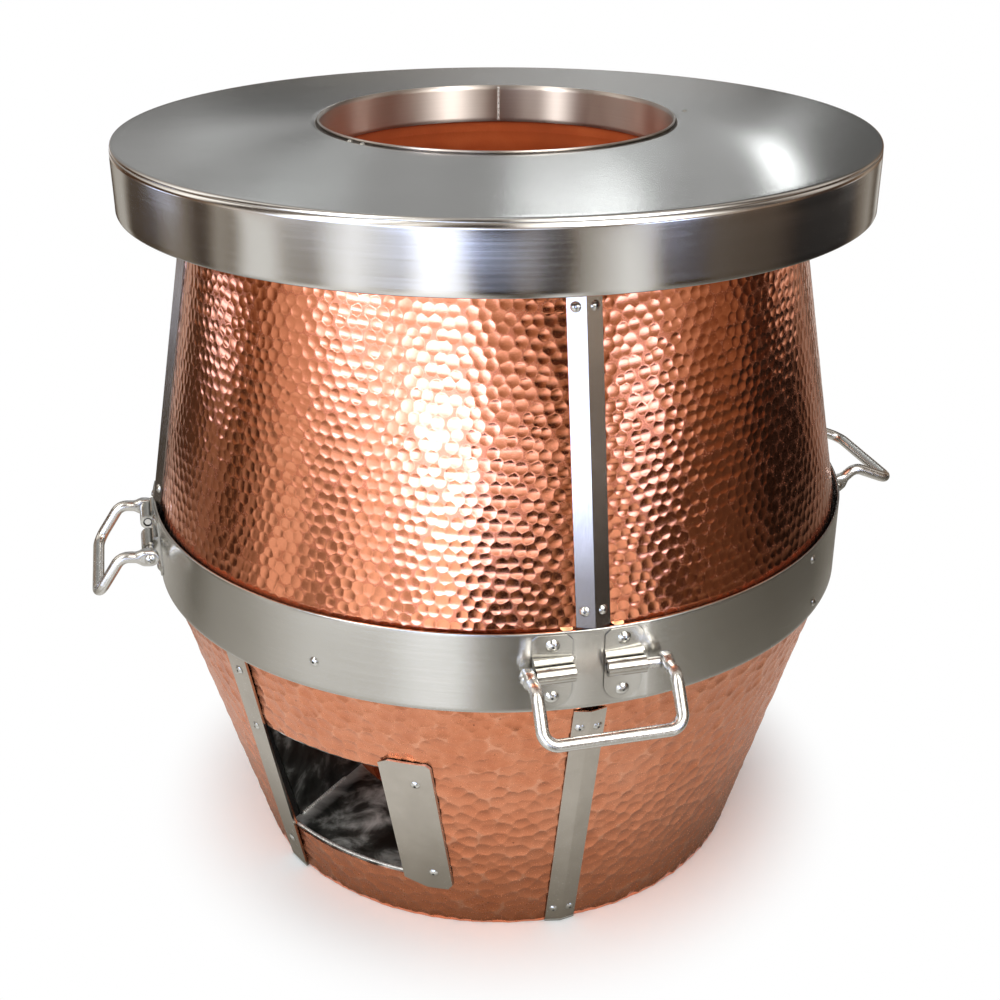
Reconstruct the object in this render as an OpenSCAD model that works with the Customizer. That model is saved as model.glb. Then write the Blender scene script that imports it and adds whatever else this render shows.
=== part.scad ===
// Clay tandoor oven: a clay pot in a hammered copper casing, with a steel top plate,
// a waist band and four folding bail handles.
// Lengths are in millimetres. The floor is z = 0 and the oven's axis is x = y = 0.
// The front seam strip faces -y. An azimuth turns from the front towards +x.

/* [Casing] */
// outer radius of the copper casing at the floor
foot_r = 279; // [200:1:340]
// outer radius of the lower casing where the waist band begins
waist_r = 368; // [320:1:440]
// height at which the waist band begins
waist_z = 325.6; // [300:0.2:400]
// outer radius of the upper casing where it meets the top plate
neck_r = 297.9; // [260:0.1:330]
// thickness of the copper sheet
copper_t = 1.5; // [0.8:0.1:3]
// open seam between two copper panels, covered by a strip
seam_gap = 0.6; // [0.2:0.1:2]

/* [Top plate] */
// outer radius of the top plate
plate_r = 380; // [340:1:440]
// height of the top plate's outer edge
rim_z = 780.9; // [700:0.1:900]
// rise of the top plate from its outer edge to the mouth
mouth_rise = 8.2; // [2:0.1:20]
// height of the turned-down skirt
skirt_h = 64.7; // [30:0.1:100]
// thickness of the top plate's sheet
plate_t = 2; // [1:0.1:4]
// radius of the rolled edge between plate and skirt
edge_roll_r = 4; // [3:0.1:8]
// width of the hem folded inwards at the skirt's lower edge
hem_w = 6; // [3:0.5:12]

/* [Mouth] */
// inner radius of the mouth collar
mouth_r = 177; // [120:1:200]
// thickness of the collar's sheet
collar_t = 1.2; // [0.8:0.1:3]
// depth of the collar below the mouth's edge
collar_h = 37.4; // [20:0.1:60]
// radius of the bead rolled round the collar's top edge
bead_r = 1.1; // [0.8:0.1:2]

/* [Clay pot] */
// greatest outer radius of the pot
pot_belly_r = 262; // [240:1:280]
// height of the pot's greatest radius above its foot
pot_belly_h = 380; // [300:5:420]
// outer radius of the pot's foot
pot_foot_r = 165; // [150:1:200]
// thickness of the pot's wall
pot_wall = 28; // [15:1:40]
// height of the pot
pot_h = 750; // [740:1:752]
// gap between the collar and the pot's neck
pot_gap = 1.8; // [0.5:0.1:5]

/* [Base] */
// thickness of the base plate
base_t = 5; // [3:0.5:8]
// thickness of the hearth slab under the pot
slab_t = 15; // [10:1:20]
// radius of the hearth slab
slab_r = 240; // [200:1:260]

/* [Waist band] */
// height of the band
band_h = 81.4; // [70:0.1:120]
// thickness of the band's sheet
band_t = 1.8; // [1:0.1:4]
// gap between the casing and the band where the band begins
band_stand = 4.2; // [2:0.1:10]
// share of the room inside the band that each hem of the casing takes
hem_share = 0.4; // [0.2:0.01:0.45]

/* [Seam strips] */
// width of a seam strip from foot to foot
strip_w = 31.8; // [20:0.1:50]
// height of an upper strip's ridge over the copper
upper_ridge = 7.4; // [4:0.1:12]
// height of a lower strip's ridge over the copper
lower_ridge = 4.3; // [3:0.1:8]
// thickness of the strips' sheet
strip_t = 1.2; // [0.8:0.1:2]

/* [Draught opening] */
// azimuth of the opening
door_az = -45; // [-60:1:-30]
// half width of the duct inside
duct_half = 87; // [60:1:100]
// height of the duct's floor
duct_floor_z = 70; // [50:1:100]
// height of the duct's roof
duct_roof_z = 228; // [180:1:260]
// thickness of the duct's sheet
duct_t = 2; // [1:0.1:4]
// thickness of the door strip and the door plate
door_t = 3; // [1:0.1:5]
// width of the door strip
door_strip_w = 28; // [16:1:40]
// half width of the air hole in the pot
air_half = 55; // [30:1:60]

/* [Handles] */
// height of the hinge axis above the band's lower edge
hinge_rise = 44.9; // [38:0.1:60]
// distance of the hinge axis from the band
hinge_stand = 9; // [8.5:0.1:15]
// distance of each arm from the middle of its handle
arm_x = 64; // [60:0.5:90]
// radius of the handle's rod
rod_r = 6; // [4:0.1:8]
// length of the arm from the hinge to the kink
leg_in = 29; // [26:0.5:45]
// length of the arm from the kink to the crossbar
leg_out = 48; // [40:0.5:80]
// angle of the kink
kink = 63; // [30:1:80]
// bend radius of the rod's middle line
bend_r = 14; // [9:0.5:16]
// radius of the hinge pin
pin_r = 5; // [3:0.1:6]
// running clearance of the pin in the clip's barrel
pin_gap = 0.05; // [0.02:0.01:0.1]
// outer radius of the clip's barrel
barrel_r = 8; // [7:0.1:9]
// width of a clip
clip_w = 36; // [30:0.5:44]
// thickness of the clip's sheet
clip_t = 1.5; // [1:0.1:2.5]
// radius of a clip rivet's head
clip_rivet_r = 6.5; // [4:0.1:8]

/* [Hidden] */
// segments of the small rounds and of the rounds about the oven's axis
$fn = 72;
round_n = 240;
// flats of the top plate's rolled edge
roll_n = 8;
// overrun of every cut
over = 1;
// seat clearance between two sheets that lie on each other
seat = 0.1;
// clearance round the insulation
pad_gap = 0.3;
full_z = rim_z + mouth_rise;

band_in_r = waist_r + band_stand;
band_r = band_in_r + band_t;
// reach of the blocks that cut the casing
far = plate_r + band_r;
band_top_z = waist_z + band_h;
waist_lean = atan((waist_r - foot_r) / waist_z);
// height of the upper casing's cone over the band, measured where the cone starts
neck_drop = 6;
cone_z = band_top_z - neck_drop;
neck_lean = atan((waist_r - neck_r) / (rim_z - cone_z));

plate_slope = mouth_rise / (plate_r - edge_roll_r - mouth_r);
plate_lean = atan(plate_slope);
collar_out_r = mouth_r + collar_t;
slab_z = base_t;
pot_z = base_t + slab_t;
pot_neck_r = collar_out_r + pot_gap + pot_wall;

// pot outline as [height share, radius share], from the foot to the belly
pot_low_shares = [[0, 0], [0.13, 0.155], [0.32, 0.43], [0.553, 0.69], [0.79, 0.91], [1, 1]];
// pot outline as [height share, radius share], from the belly to the mouth
pot_high_shares = [[0.216, 0.963], [0.432, 0.815], [0.65, 0.48], [0.81, 0.15], [0.92, 0], [1, 0]];

// heights of the joints between the pot's rings, from its foot to its mouth; the lowest joint
// crosses the straight sides of the air hole
air_joint_share = 0.4;
pot_joints = [pot_z, duct_floor_z + (duct_roof_z - duct_floor_z) * air_joint_share,
    pot_z + pot_belly_h * pot_low_shares[4][0],
    pot_z + pot_belly_h + (pot_h - pot_belly_h) * pot_high_shares[1][0], pot_z + pot_h];

// half width of the opening cut in the copper, left and right of its axis
cut_left = 82;
cut_right = 86;
// step of the duct's side walls behind the copper
duct_step = 13;
cut_low_z = duct_floor_z - duct_t - seat;
cut_top_z = duct_roof_z + duct_t + seat;
// door strip: middle line at the floor and at the band, as shares of the duct's half width
door_foot_share = -1.129;
door_head_share = -0.885;
door_foot_x = door_foot_share * duct_half;
door_head_x = door_head_share * duct_half;
// door plate: corners as shares of the duct's half width and of the duct's height
door_plate_shares = [[0.837, 1.03], [0.837, 1.075], [0.95, 1.108], [1.38, 1.108], [1.42, 1.08],
    [1.32, -0.04], [1.26, -0.085], [1.02, -0.085], [0.765, -0.02]];
door_rivet_r = 4.8;
duct_h = duct_roof_z - duct_floor_z;
// rivets of the door strip as shares of its height
door_rivet_shares = [0.933, 0.686, 0.125];
// rivets of the door plate as shares of the duct's half width and height
plate_rivet_shares = [[1.212, 0.92], [1.144, 0.074]];

hinge_r = band_r + hinge_stand;
hinge_z = waist_z + hinge_rise;
leg_lean = atan2(leg_out * sin(kink), leg_in + leg_out * cos(kink));
bar_lean = leg_lean - kink;
reach = leg_in * cos(leg_lean) + leg_out * cos(bar_lean);
bend_run = bend_r * tan(kink / 2);
// eyes of a handle: wall round the pin and how much flatter than the rod they are
eye_wall = 4;
eye_flat = 1;
eye_r = pin_r + eye_wall;
// lap of a straight stretch of rod into its bends, and how much thinner it is
lap = 0.5;
lap_step = 0.02;
eye_t = 2 * rod_r - eye_flat;
// clip places along the hinge axis, left and right seen from outside
clip_left_gap = 1.2;
clip_right_gap = 13.4;
clip_left_x = eye_t / 2 - arm_x + clip_w / 2 + clip_left_gap;
clip_right_x = arm_x - eye_t / 2 - clip_w / 2 - clip_right_gap;
// clip: lower and upper end of its tab and places of its rivets, from the hinge axis
clip_drop = 39.5;
clip_up = 34.5;
clip_chamfer = 5;
clip_rivet_low = 29.1;
clip_rivet_up = 24.1;
ledge_up = 13;
ledge_out = 4;
clip_rivet_h = 3.2;
clip_out_r = band_r + clip_t;
// screw head on the hinge pin and the nub at its inner end
screw_r = 5.4;
screw_h = 3;
nub_r = 3.4;
nub_h = 2;
// how far each handle is lifted at rest: front, right, rear, left
bail_rest = [-33, 0, -33, -33];

rivet_r = 4.7;
rivet_h = 2.2;
hole_r = 1.3;
hole_h = 1.4;
band_rivet_in = 13;
strip_rivet_share = 0.547;
strip_end = 15;
rim_tab_t = 1.2;
top_screw_r = 2.6;
top_screw_h = 1.5;

// outer radius of the lower casing at height z
function lower_r(z) = foot_r + z * tan(waist_lean);

// outer radius of the upper casing at height z
function upper_r(z) = waist_r - (z - cone_z) * tan(neck_lean);

// height of the top plate's upper face at radius r
function plate_z(r) = rim_z + (plate_r - edge_roll_r - r) * plate_slope;

// height at which the lower casing meets the inside of the band
flare_z = (band_in_r - seat - foot_r) / tan(waist_lean);
// height at which the upper casing's flare meets the inside of the band
lip_z = cone_z - band_stand + seat;
hem_h = hem_share * (lip_z - flare_z);

// clay pot's outer points, grown by g
function pot_outline(g) = concat(
    [for (s = pot_low_shares)
        [pot_foot_r + (pot_belly_r - pot_foot_r) * s[1] + g, pot_z + pot_belly_h * s[0]]],
    [for (s = pot_high_shares)
        [pot_neck_r + (pot_belly_r - pot_neck_r) * s[1] + g,
            pot_z + pot_belly_h + (pot_h - pot_belly_h) * s[0]]]);

// turns what is drawn in the xy plane outwards at azimuth az, radius r and height z
module at_wall(az, r, z, lean = 0) {
    rotate([0, 0, az])
        translate([0, -r, z])
            rotate([90 + lean, 0, 0])
                children();
}

// plane of a handle's arm: x runs outwards, y upwards and z to the left
module arm_plane(az) {
    rotate([0, 0, az])
        translate([0, -hinge_r, hinge_z])
            rotate([90, 0, -90])
                children();
}

// domed head of radius r and height h
module dome(r, h) {
    ball_r = (r * r + h * h) / (2 * h);
    intersection() {
        translate([0, 0, h - ball_r]) sphere(r = ball_r);
        cylinder(r = r + over, h = h + over);
    }
}

// blind rivet head with the hole left by its mandrel
module rivet(r, h) {
    difference() {
        dome(r, h);
        translate([0, 0, h - hole_h]) cylinder(r = hole_r, h = hole_h + over);
    }
}

// sheet of revolution from the points of its outer line, inside it by t
module turned_sheet(points, t) {
    inner = [for (i = [len(points) - 1:-1:0]) [points[i][0] - t, points[i][1]]];
    rotate_extrude($fn = round_n) polygon(concat(points, inner));
}

// solid cone of the lower casing, grown by g
module lower_cone(g) {
    cylinder(r1 = foot_r + g, r2 = lower_r(flare_z) + g, h = flare_z, $fn = round_n);
}

module lower_shell() {
    turned_sheet([[foot_r, 0], [lower_r(flare_z), flare_z], [band_in_r - seat, flare_z + hem_h]],
        copper_t / cos(waist_lean));
}

module upper_shell() {
    top_z = plate_z(neck_r) - plate_t / cos(plate_lean) - seat;
    turned_sheet([[band_in_r - seat, lip_z - hem_h], [band_in_r - seat, lip_z], [waist_r, cone_z],
        [upper_r(top_z), top_z]], copper_t / cos(neck_lean));
}

// opening cut in the copper
module door_cut() {
    rotate([0, 0, door_az])
        translate([-cut_left, -far, cut_low_z])
            cube([cut_left + cut_right, far, cut_top_z - cut_low_z]);
}

module upper_panel(az) {
    rotate([0, 0, az])
        intersection() {
            upper_shell();
            translate([seam_gap / 2, -far, 0]) cube([far, far - seam_gap / 2, full_z]);
        }
}

// bent sheet of half width w whose ridge stands h over its feet
module chevron(w, h) {
    ridge_t = strip_t / cos(atan((h - strip_t) / w));
    polygon([[-w, 0], [-w, -strip_t], [0, -h], [w, -strip_t], [w, 0], [0, ridge_t - h]]);
}

// drop of a round wall of radius r over half a strip's width
function sag(r) = strip_w * strip_w / 8 / r;

module upper_strip(az) {
    low_z = band_top_z + seat;
    high_z = rim_z - skirt_h / 8;
    intersection() {
        rotate([0, 0, az])
            translate([0, sag(waist_r) - waist_r, cone_z])
                rotate([-neck_lean, 0, 0])
                    linear_extrude(height = rim_z - cone_z)
                        chevron(strip_w / 2, upper_ridge);
        translate([0, 0, low_z]) cylinder(r = far, h = high_z - low_z, $fn = round_n);
    }
}

module lower_strip(az) {
    intersection() {
        rotate([0, 0, az])
            translate([0, sag(waist_r) - foot_r, 0])
                rotate([waist_lean, 0, 0])
                    translate([0, 0, -lower_ridge])
                        linear_extrude(height = waist_z + 2 * lower_ridge)
                            chevron(strip_w / 2, lower_ridge);
        translate([0, 0, seat]) cylinder(r = far, h = waist_z - 2 * seat, $fn = round_n);
    }
}

// sheet of thickness t lying on the lower casing, up to height h
module lower_skin(t, h) {
    intersection() {
        difference() {
            lower_cone(seat + t);
            translate([0, 0, -over])
                cylinder(r1 = lower_r(-over) + seat, r2 = lower_r(flare_z + over) + seat,
                    h = flare_z + 2 * over, $fn = round_n);
        }
        cylinder(r = far, h = h, $fn = round_n);
    }
}

// punches the outline drawn in the door's x and z through the front of the casing
module door_punch() {
    rotate([0, 0, door_az])
        rotate([90, 0, 0])
            linear_extrude(height = far)
                children();
}

module base_plate() {
    color("#8d8d8b")
        cylinder(r1 = lower_r(0) - copper_t / cos(waist_lean) - seat,
            r2 = lower_r(base_t) - copper_t / cos(waist_lean) - seat, h = base_t,
            $fn = round_n);
}

module hearth_slab() {
    color("#c9a27a") translate([0, 0, slab_z]) cylinder(r = slab_r, h = slab_t, $fn = round_n);
}

// arch of the air hole, grown by g
module air_hole(g) {
    rotate([0, 0, door_az])
        rotate([90, 0, 0])
            linear_extrude(height = pot_belly_r + over) {
                translate([-air_half - g, duct_floor_z - g])
                    square([2 * (air_half + g), duct_h / 2 + g]);
                translate([0, duct_floor_z + duct_h / 2]) circle(r = air_half + g);
            }
}

// one of the clay rings that the pot is built from, counted from its foot
module pot_ring(i) {
    outer = pot_outline(0);
    inner = [for (j = [len(outer) - 1:-1:0]) [outer[j][0] - pot_wall, outer[j][1]]];
    difference() {
        intersection() {
            rotate_extrude($fn = round_n) polygon(concat(outer, inner));
            translate([0, 0, pot_joints[i]])
                cylinder(r = far, h = pot_joints[i + 1] - pot_joints[i] - seat, $fn = round_n);
        }
        air_hole(0);
    }
}

module pot_foot_ring() {
    color("#a8522c") pot_ring(0);
}

module pot_lower_ring() {
    color("#ad562f") pot_ring(1);
}

module pot_belly_ring() {
    color("#a8522c") pot_ring(2);
}

module pot_neck_ring() {
    color("#ad562f") pot_ring(3);
}

// everything inside the pot's outer wall, grown by g
module pot_body(g) {
    outer = pot_outline(g);
    rotate_extrude($fn = round_n)
        polygon(concat([[0, pot_z - over]], [[pot_foot_r + g, pot_z - over]], outer,
            [[pot_neck_r + g, full_z], [0, full_z]]));
}

module draught_duct() {
    wall = duct_half + duct_t;
    color("#55534f")
        difference() {
            intersection() {
                rotate([0, 0, door_az])
                    difference() {
                        translate([-wall, -far, duct_floor_z - duct_t])
                            cube([2 * wall, far, duct_h + 2 * duct_t]);
                        translate([-duct_half, -far - over, duct_floor_z])
                            cube([2 * duct_half, far, duct_h]);
                    }
                lower_cone(-copper_t / cos(waist_lean) - seat);
            }
            difference() {
                translate([0, 0, duct_floor_z]) cylinder(r = far, h = duct_h, $fn = round_n);
                lower_cone(-copper_t / cos(waist_lean) - duct_step);
            }
            pot_body(seat);
        }
}

module insulation() {
    low_z = base_t + seat;
    high_z = rim_z - plate_t - copper_t;
    in_t = copper_t / cos(waist_lean) + pad_gap;
    wall = duct_half + duct_t + pad_gap;
    duct_low_z = duct_floor_z - duct_t - pad_gap;
    color("#d9d2c0")
        difference() {
            rotate_extrude($fn = round_n)
                polygon([[slab_r + pad_gap, low_z], [lower_r(low_z) - in_t, low_z],
                    [waist_r - in_t, waist_z], [waist_r - in_t, cone_z],
                    [upper_r(high_z) - in_t, high_z], [collar_out_r + pad_gap, high_z],
                    [collar_out_r + pad_gap, slab_z + slab_t + pad_gap],
                    [slab_r + pad_gap, slab_z + slab_t + pad_gap]]);
            pot_body(pad_gap);
            rotate([0, 0, door_az])
                translate([-wall, -far, duct_low_z])
                    cube([2 * wall, far, duct_h + 2 * (duct_t + pad_gap)]);
        }
}

module lower_shell_left() {
    color("#c07a55")
        difference() {
            lower_shell();
            translate([-seam_gap / 2, -far, -over]) cube([2 * far, 2 * far, full_z]);
            door_cut();
        }
}

module lower_shell_right() {
    color("#b87450")
        intersection() {
            lower_shell();
            translate([seam_gap / 2, -far, 0]) cube([far, 2 * far, full_z]);
        }
}

module upper_panel_front_right() {
    color("#c4774f") upper_panel(0);
}

module upper_panel_rear_right() {
    color("#b96c45") upper_panel(90);
}

module upper_panel_rear_left() {
    color("#c4774f") upper_panel(180);
}

module upper_panel_front_left() {
    color("#b96c45") upper_panel(-90);
}

module upper_strip_front() {
    color("#a9a7a1") upper_strip(0);
}

module upper_strip_right() {
    color("#a9a7a1") upper_strip(90);
}

module upper_strip_rear() {
    color("#a9a7a1") upper_strip(180);
}

module upper_strip_left() {
    color("#a9a7a1") upper_strip(-90);
}

module lower_strip_front() {
    color("#98958e") lower_strip(0);
}

module lower_strip_rear() {
    color("#98958e") lower_strip(180);
}

module door_strip() {
    half = door_strip_w / 2;
    color("#98958e")
        intersection() {
            lower_skin(door_t, waist_z - seat);
            door_punch()
                polygon([[door_foot_x - half, seat], [door_foot_x + half, seat],
                    [door_head_x + half, waist_z], [door_head_x - half, waist_z]]);
        }
}

module door_plate() {
    color("#b2b0aa")
        intersection() {
            lower_skin(door_t, waist_z);
            door_punch()
                polygon([for (s = door_plate_shares)
                    [duct_half * s[0], duct_floor_z + duct_h * s[1]]]);
        }
}

module waist_band() {
    color("#a5a39d")
        translate([0, 0, waist_z])
            difference() {
                cylinder(r = band_r, h = band_h, $fn = round_n);
                translate([0, 0, -over])
                    cylinder(r = band_in_r, h = band_h + 2 * over, $fn = round_n);
            }
}

// two tabs on the band's rim beside the foot of the front strip
module rim_tabs() {
    tab_w = 0.35 * strip_w;
    color("#b8b6b0")
        for (x = [-0.8 * strip_w, 0.7 * strip_w])
            intersection() {
                translate([x, -band_r, band_top_z])
                    linear_extrude(height = rim_tab_t) {
                        translate([0, tab_w / 2]) circle(r = tab_w / 2);
                        translate([-tab_w / 2, tab_w / 2]) square([tab_w, tab_w / 2]);
                    }
                difference() {
                    cylinder(r = band_r, h = full_z, $fn = round_n);
                    cylinder(r = upper_r(band_top_z) + seat, h = full_z, $fn = round_n);
                }
            }
}

// points of a quarter round about [x, z], from angle a to angle b
function quarter(x, z, r, a, b) = [for (i = [0:roll_n])
    let (turn = a + (b - a) * i / roll_n) [x + r * cos(turn), z + r * sin(turn)]];

// sheet from the mouth's collar to the rolled edge that ends on the skirt
module top_plate() {
    roll_x = plate_r - edge_roll_r;
    roll_z = rim_z - edge_roll_r;
    edge_r = collar_out_r + seat;
    color("#b5b5b3")
        rotate_extrude($fn = round_n)
            polygon(concat([[edge_r, plate_z(edge_r)]],
                quarter(roll_x, roll_z, edge_roll_r, 90, 0),
                quarter(roll_x, roll_z, edge_roll_r - plate_t, 0, 90),
                [[edge_r, plate_z(edge_r) - plate_t / cos(plate_lean)]]));
}

// upright skirt welded under the rolled edge, with its lower hem
module top_skirt() {
    top_z = rim_z - edge_roll_r - seat;
    low_z = rim_z - skirt_h;
    color("#adadab")
        rotate_extrude($fn = round_n)
            polygon([[plate_r, top_z], [plate_r, low_z], [plate_r - hem_w, low_z],
                [plate_r - hem_w, low_z + plate_t], [plate_r - plate_t, low_z + plate_t],
                [plate_r - plate_t, top_z]]);
}

module mouth_collar() {
    top_z = plate_z(mouth_r);
    bead_z = top_z + bead_r + seat / 2;
    color("#c2b8b0")
        rotate_extrude($fn = round_n) {
            translate([mouth_r, top_z - collar_h])
                square([collar_t, bead_z - top_z + collar_h]);
            translate([mouth_r + bead_r, bead_z]) circle(r = bead_r);
        }
}

// curved tab, ledge and rolled barrel of one hinge clip, x along the hinge axis
module clip(az, x) {
    half = clip_w / 2;
    color("#a8a6a0")
        difference() {
            union() {
                intersection() {
                    rotate([0, 0, az])
                        translate([x, 0, hinge_z])
                            rotate([90, 0, 0])
                                linear_extrude(height = far) {
                                    translate([0, half - clip_drop]) circle(r = half);
                                    polygon([[-half, half - clip_drop], [half, half - clip_drop],
                                        [half, clip_up - clip_chamfer],
                                        [half - clip_chamfer, clip_up],
                                        [clip_chamfer - half, clip_up],
                                        [-half, clip_up - clip_chamfer]]);
                                }
                    cylinder(r = clip_out_r, h = full_z, $fn = round_n);
                }
                arm_plane(az)
                    translate([0, 0, -x - half])
                        linear_extrude(height = clip_w) {
                            circle(r = barrel_r);
                            polygon([[-3 * hinge_stand, ledge_up], [-ledge_out - clip_t, ledge_up],
                                [-ledge_out, ledge_up - clip_t],
                                [-ledge_out, barrel_r * sin(60)],
                                [0, barrel_r * sin(45)], [0, -barrel_r * sin(45)],
                                [-hinge_stand / 2, -barrel_r], [-3 * hinge_stand, -barrel_r]]);
                        }
            }
            cylinder(r = band_r, h = full_z, $fn = round_n);
            arm_plane(az)
                translate([0, 0, -x - half - over])
                    cylinder(r = pin_r + pin_gap, h = clip_w + 2 * over);
        }
}

// straight stretch of the rod along x, lapped into the bends at its ends
module rod(length) {
    translate([-lap, 0, 0])
        rotate([0, 90, 0]) cylinder(r = rod_r - lap_step, h = length + 2 * lap);
}

// bend of the rod through the given angle, starting on the x axis
module rod_bend(angle) {
    rotate_extrude(angle = angle) translate([bend_r, 0]) circle(r = rod_r);
}

// one arm of a handle in its arm plane, from the eye to the end of the crossbar
module bail_side() {
    kink_x = leg_in * cos(leg_lean);
    kink_y = leg_in * sin(leg_lean);
    rod_x = screw_r + seat + lap;
    translate([0, 0, arm_x - eye_t / 2]) cylinder(r = eye_r, h = eye_t);
    translate([0, 0, arm_x]) {
        rotate([0, 0, leg_lean]) {
            translate([rod_x, 0, 0]) rod(leg_in - bend_run - rod_x);
            translate([leg_in - bend_run, -bend_r, 0])
                rotate([0, 0, 90 - kink]) rod_bend(kink);
        }
        translate([kink_x, kink_y, 0])
            rotate([0, 0, bar_lean]) {
                translate([bend_run, 0, 0]) rod(leg_out - bend_run - bend_r);
                translate([leg_out - bend_r, 0, -bend_r])
                    rotate([90, 0, 0]) rod_bend(90);
            }
    }
}

module bail(az, lift) {
    bar_end = arm_x - bend_r;
    color("#c8c8c6")
        arm_plane(az)
            rotate([0, 0, lift])
                difference() {
                    union() {
                        bail_side();
                        mirror([0, 0, 1]) bail_side();
                        translate([reach, 0, bar_end])
                            rotate([0, 90, 0]) rod(2 * bar_end);
                    }
                    translate([0, 0, -arm_x - eye_t])
                        cylinder(r = pin_r, h = 2 * (arm_x + eye_t));
                }
}

// both hinge pins of a handle, from the outside of each eye into its clip's barrel
module pins(az) {
    out_x = arm_x + eye_t / 2;
    left_in = clip_left_x + clip_w / 2 - over;
    right_in = clip_right_x - clip_w / 2 + over;
    color("#9f9f9d")
        arm_plane(az) {
            translate([0, 0, nub_h - left_in])
                cylinder(r = pin_r, h = out_x + left_in - nub_h);
            translate([0, 0, -left_in]) cylinder(r = nub_r, h = nub_h);
            translate([0, 0, -out_x]) cylinder(r = pin_r, h = out_x - right_in - nub_h);
            translate([0, 0, -right_in - nub_h]) cylinder(r = nub_r, h = nub_h);
        }
}

// screw heads outside a handle's eyes
module pin_screws(az) {
    out_x = arm_x + eye_t / 2 + seat;
    color("#bdbdbb")
        arm_plane(az)
            for (side = [0, 1])
                mirror([0, 0, side])
                    translate([0, 0, out_x])
                        difference() {
                            dome(screw_r, screw_h);
                            translate([-screw_r / 2, -hole_r / 2, screw_h - hole_h])
                                cube([screw_r, hole_r, hole_h + over]);
                            translate([-hole_r / 2, -screw_r / 2, screw_h - hole_h])
                                cube([hole_r, screw_r, hole_h + over]);
                        }
}

module clip_front_left() {
    clip(0, clip_left_x);
}

module clip_front_right() {
    clip(0, clip_right_x);
}

module clip_right_left() {
    clip(90, clip_left_x);
}

module clip_right_right() {
    clip(90, clip_right_x);
}

module clip_rear_left() {
    clip(180, clip_left_x);
}

module clip_rear_right() {
    clip(180, clip_right_x);
}

module clip_left_left() {
    clip(-90, clip_left_x);
}

module clip_left_right() {
    clip(-90, clip_right_x);
}

module bail_front() {
    bail(0, bail_rest[0]);
}

module bail_right() {
    bail(90, bail_rest[1]);
}

module bail_rear() {
    bail(180, bail_rest[2]);
}

module bail_left() {
    bail(-90, bail_rest[3]);
}

module pins_front() {
    pins(0);
}

module pins_right() {
    pins(90);
}

module pins_rear() {
    pins(180);
}

module pins_left() {
    pins(-90);
}

module pin_screws_front() {
    pin_screws(0);
}

module pin_screws_right() {
    pin_screws(90);
}

module pin_screws_rear() {
    pin_screws(180);
}

module pin_screws_left() {
    pin_screws(-90);
}

module clip_rivets() {
    color("#d0d0ce")
        for (az = [0:90:270])
            for (x = [clip_left_x, clip_right_x])
                for (z = [hinge_z - clip_rivet_low, hinge_z + clip_rivet_up])
                    at_wall(az + asin(x / clip_out_r), clip_out_r, z)
                        rivet(clip_rivet_r, clip_rivet_h);
}

// pair of rivets on the two faces of a strip, p from the strip's middle
module strip_pair(p, w, h) {
    face = atan((h - strip_t) / w);
    for (side = [-1, 1])
        translate([side * p, -h + p * tan(face), 0])
            rotate([90, 0, 0])
                rotate([0, side * face, 0])
                    rivet(rivet_r, rivet_h);
}

module upper_strip_rivets() {
    p = strip_rivet_share * strip_w / 2;
    run = (rim_z - cone_z) / cos(neck_lean);
    color("#d0d0ce")
        for (az = [0:90:270])
            rotate([0, 0, az])
                translate([0, sag(waist_r) - waist_r, cone_z])
                    rotate([-neck_lean, 0, 0])
                        for (z = [neck_drop + strip_end, run - skirt_h - 2 * strip_end])
                            translate([0, 0, z]) strip_pair(p, strip_w / 2, upper_ridge);
}

module lower_strip_rivets() {
    p = strip_rivet_share * strip_w / 2;
    run = waist_z / cos(waist_lean);
    color("#d0d0ce")
        for (az = [0, 180])
            rotate([0, 0, az])
                translate([0, sag(waist_r) - foot_r, 0])
                    rotate([waist_lean, 0, 0])
                        for (z = [1.5 * strip_end, run - 2 * strip_end])
                            translate([0, 0, z]) strip_pair(p, strip_w / 2, lower_ridge);
}

// rivet on the lower casing's skin at x from the door's axis and height z
module door_rivet(x, z) {
    skin_r = lower_r(z) + (seat + door_t);
    at_wall(door_az + asin(x / skin_r), skin_r, z, waist_lean) rivet(door_rivet_r, rivet_h);
}

module door_rivets() {
    color("#d0d0ce") {
        for (s = door_rivet_shares)
            door_rivet(door_foot_x + (door_head_x - door_foot_x) * s, waist_z * s);
        for (s = plate_rivet_shares)
            door_rivet(duct_half * s[0], duct_floor_z + duct_h * s[1]);
    }
}

module band_rivets() {
    color("#d0d0ce")
        for (turn = [0, 180]) {
            at_wall(turn - 40.4, band_r, waist_z + 0.37 * band_h) rivet(rivet_r, rivet_h);
            at_wall(turn + 43.4, band_r, waist_z + band_h - band_rivet_in)
                rivet(rivet_r, rivet_h);
            at_wall(turn + 45.7, band_r, waist_z + band_rivet_in) rivet(rivet_r, rivet_h);
        }
}

// small screws in the top plate beside the mouth, as [azimuth, share of the mouth's radius]
top_screw_shares = [[-61.8, 1.031], [-55.9, 1.036], [86.8, 1.11]];

module top_screws() {
    color("#d0d0ce")
        for (s = top_screw_shares)
            rotate([0, 0, s[0]])
                translate([0, -mouth_r * s[1], plate_z(mouth_r * s[1])])
                    rotate([plate_lean, 0, 0])
                        dome(top_screw_r, top_screw_h);
}

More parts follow.
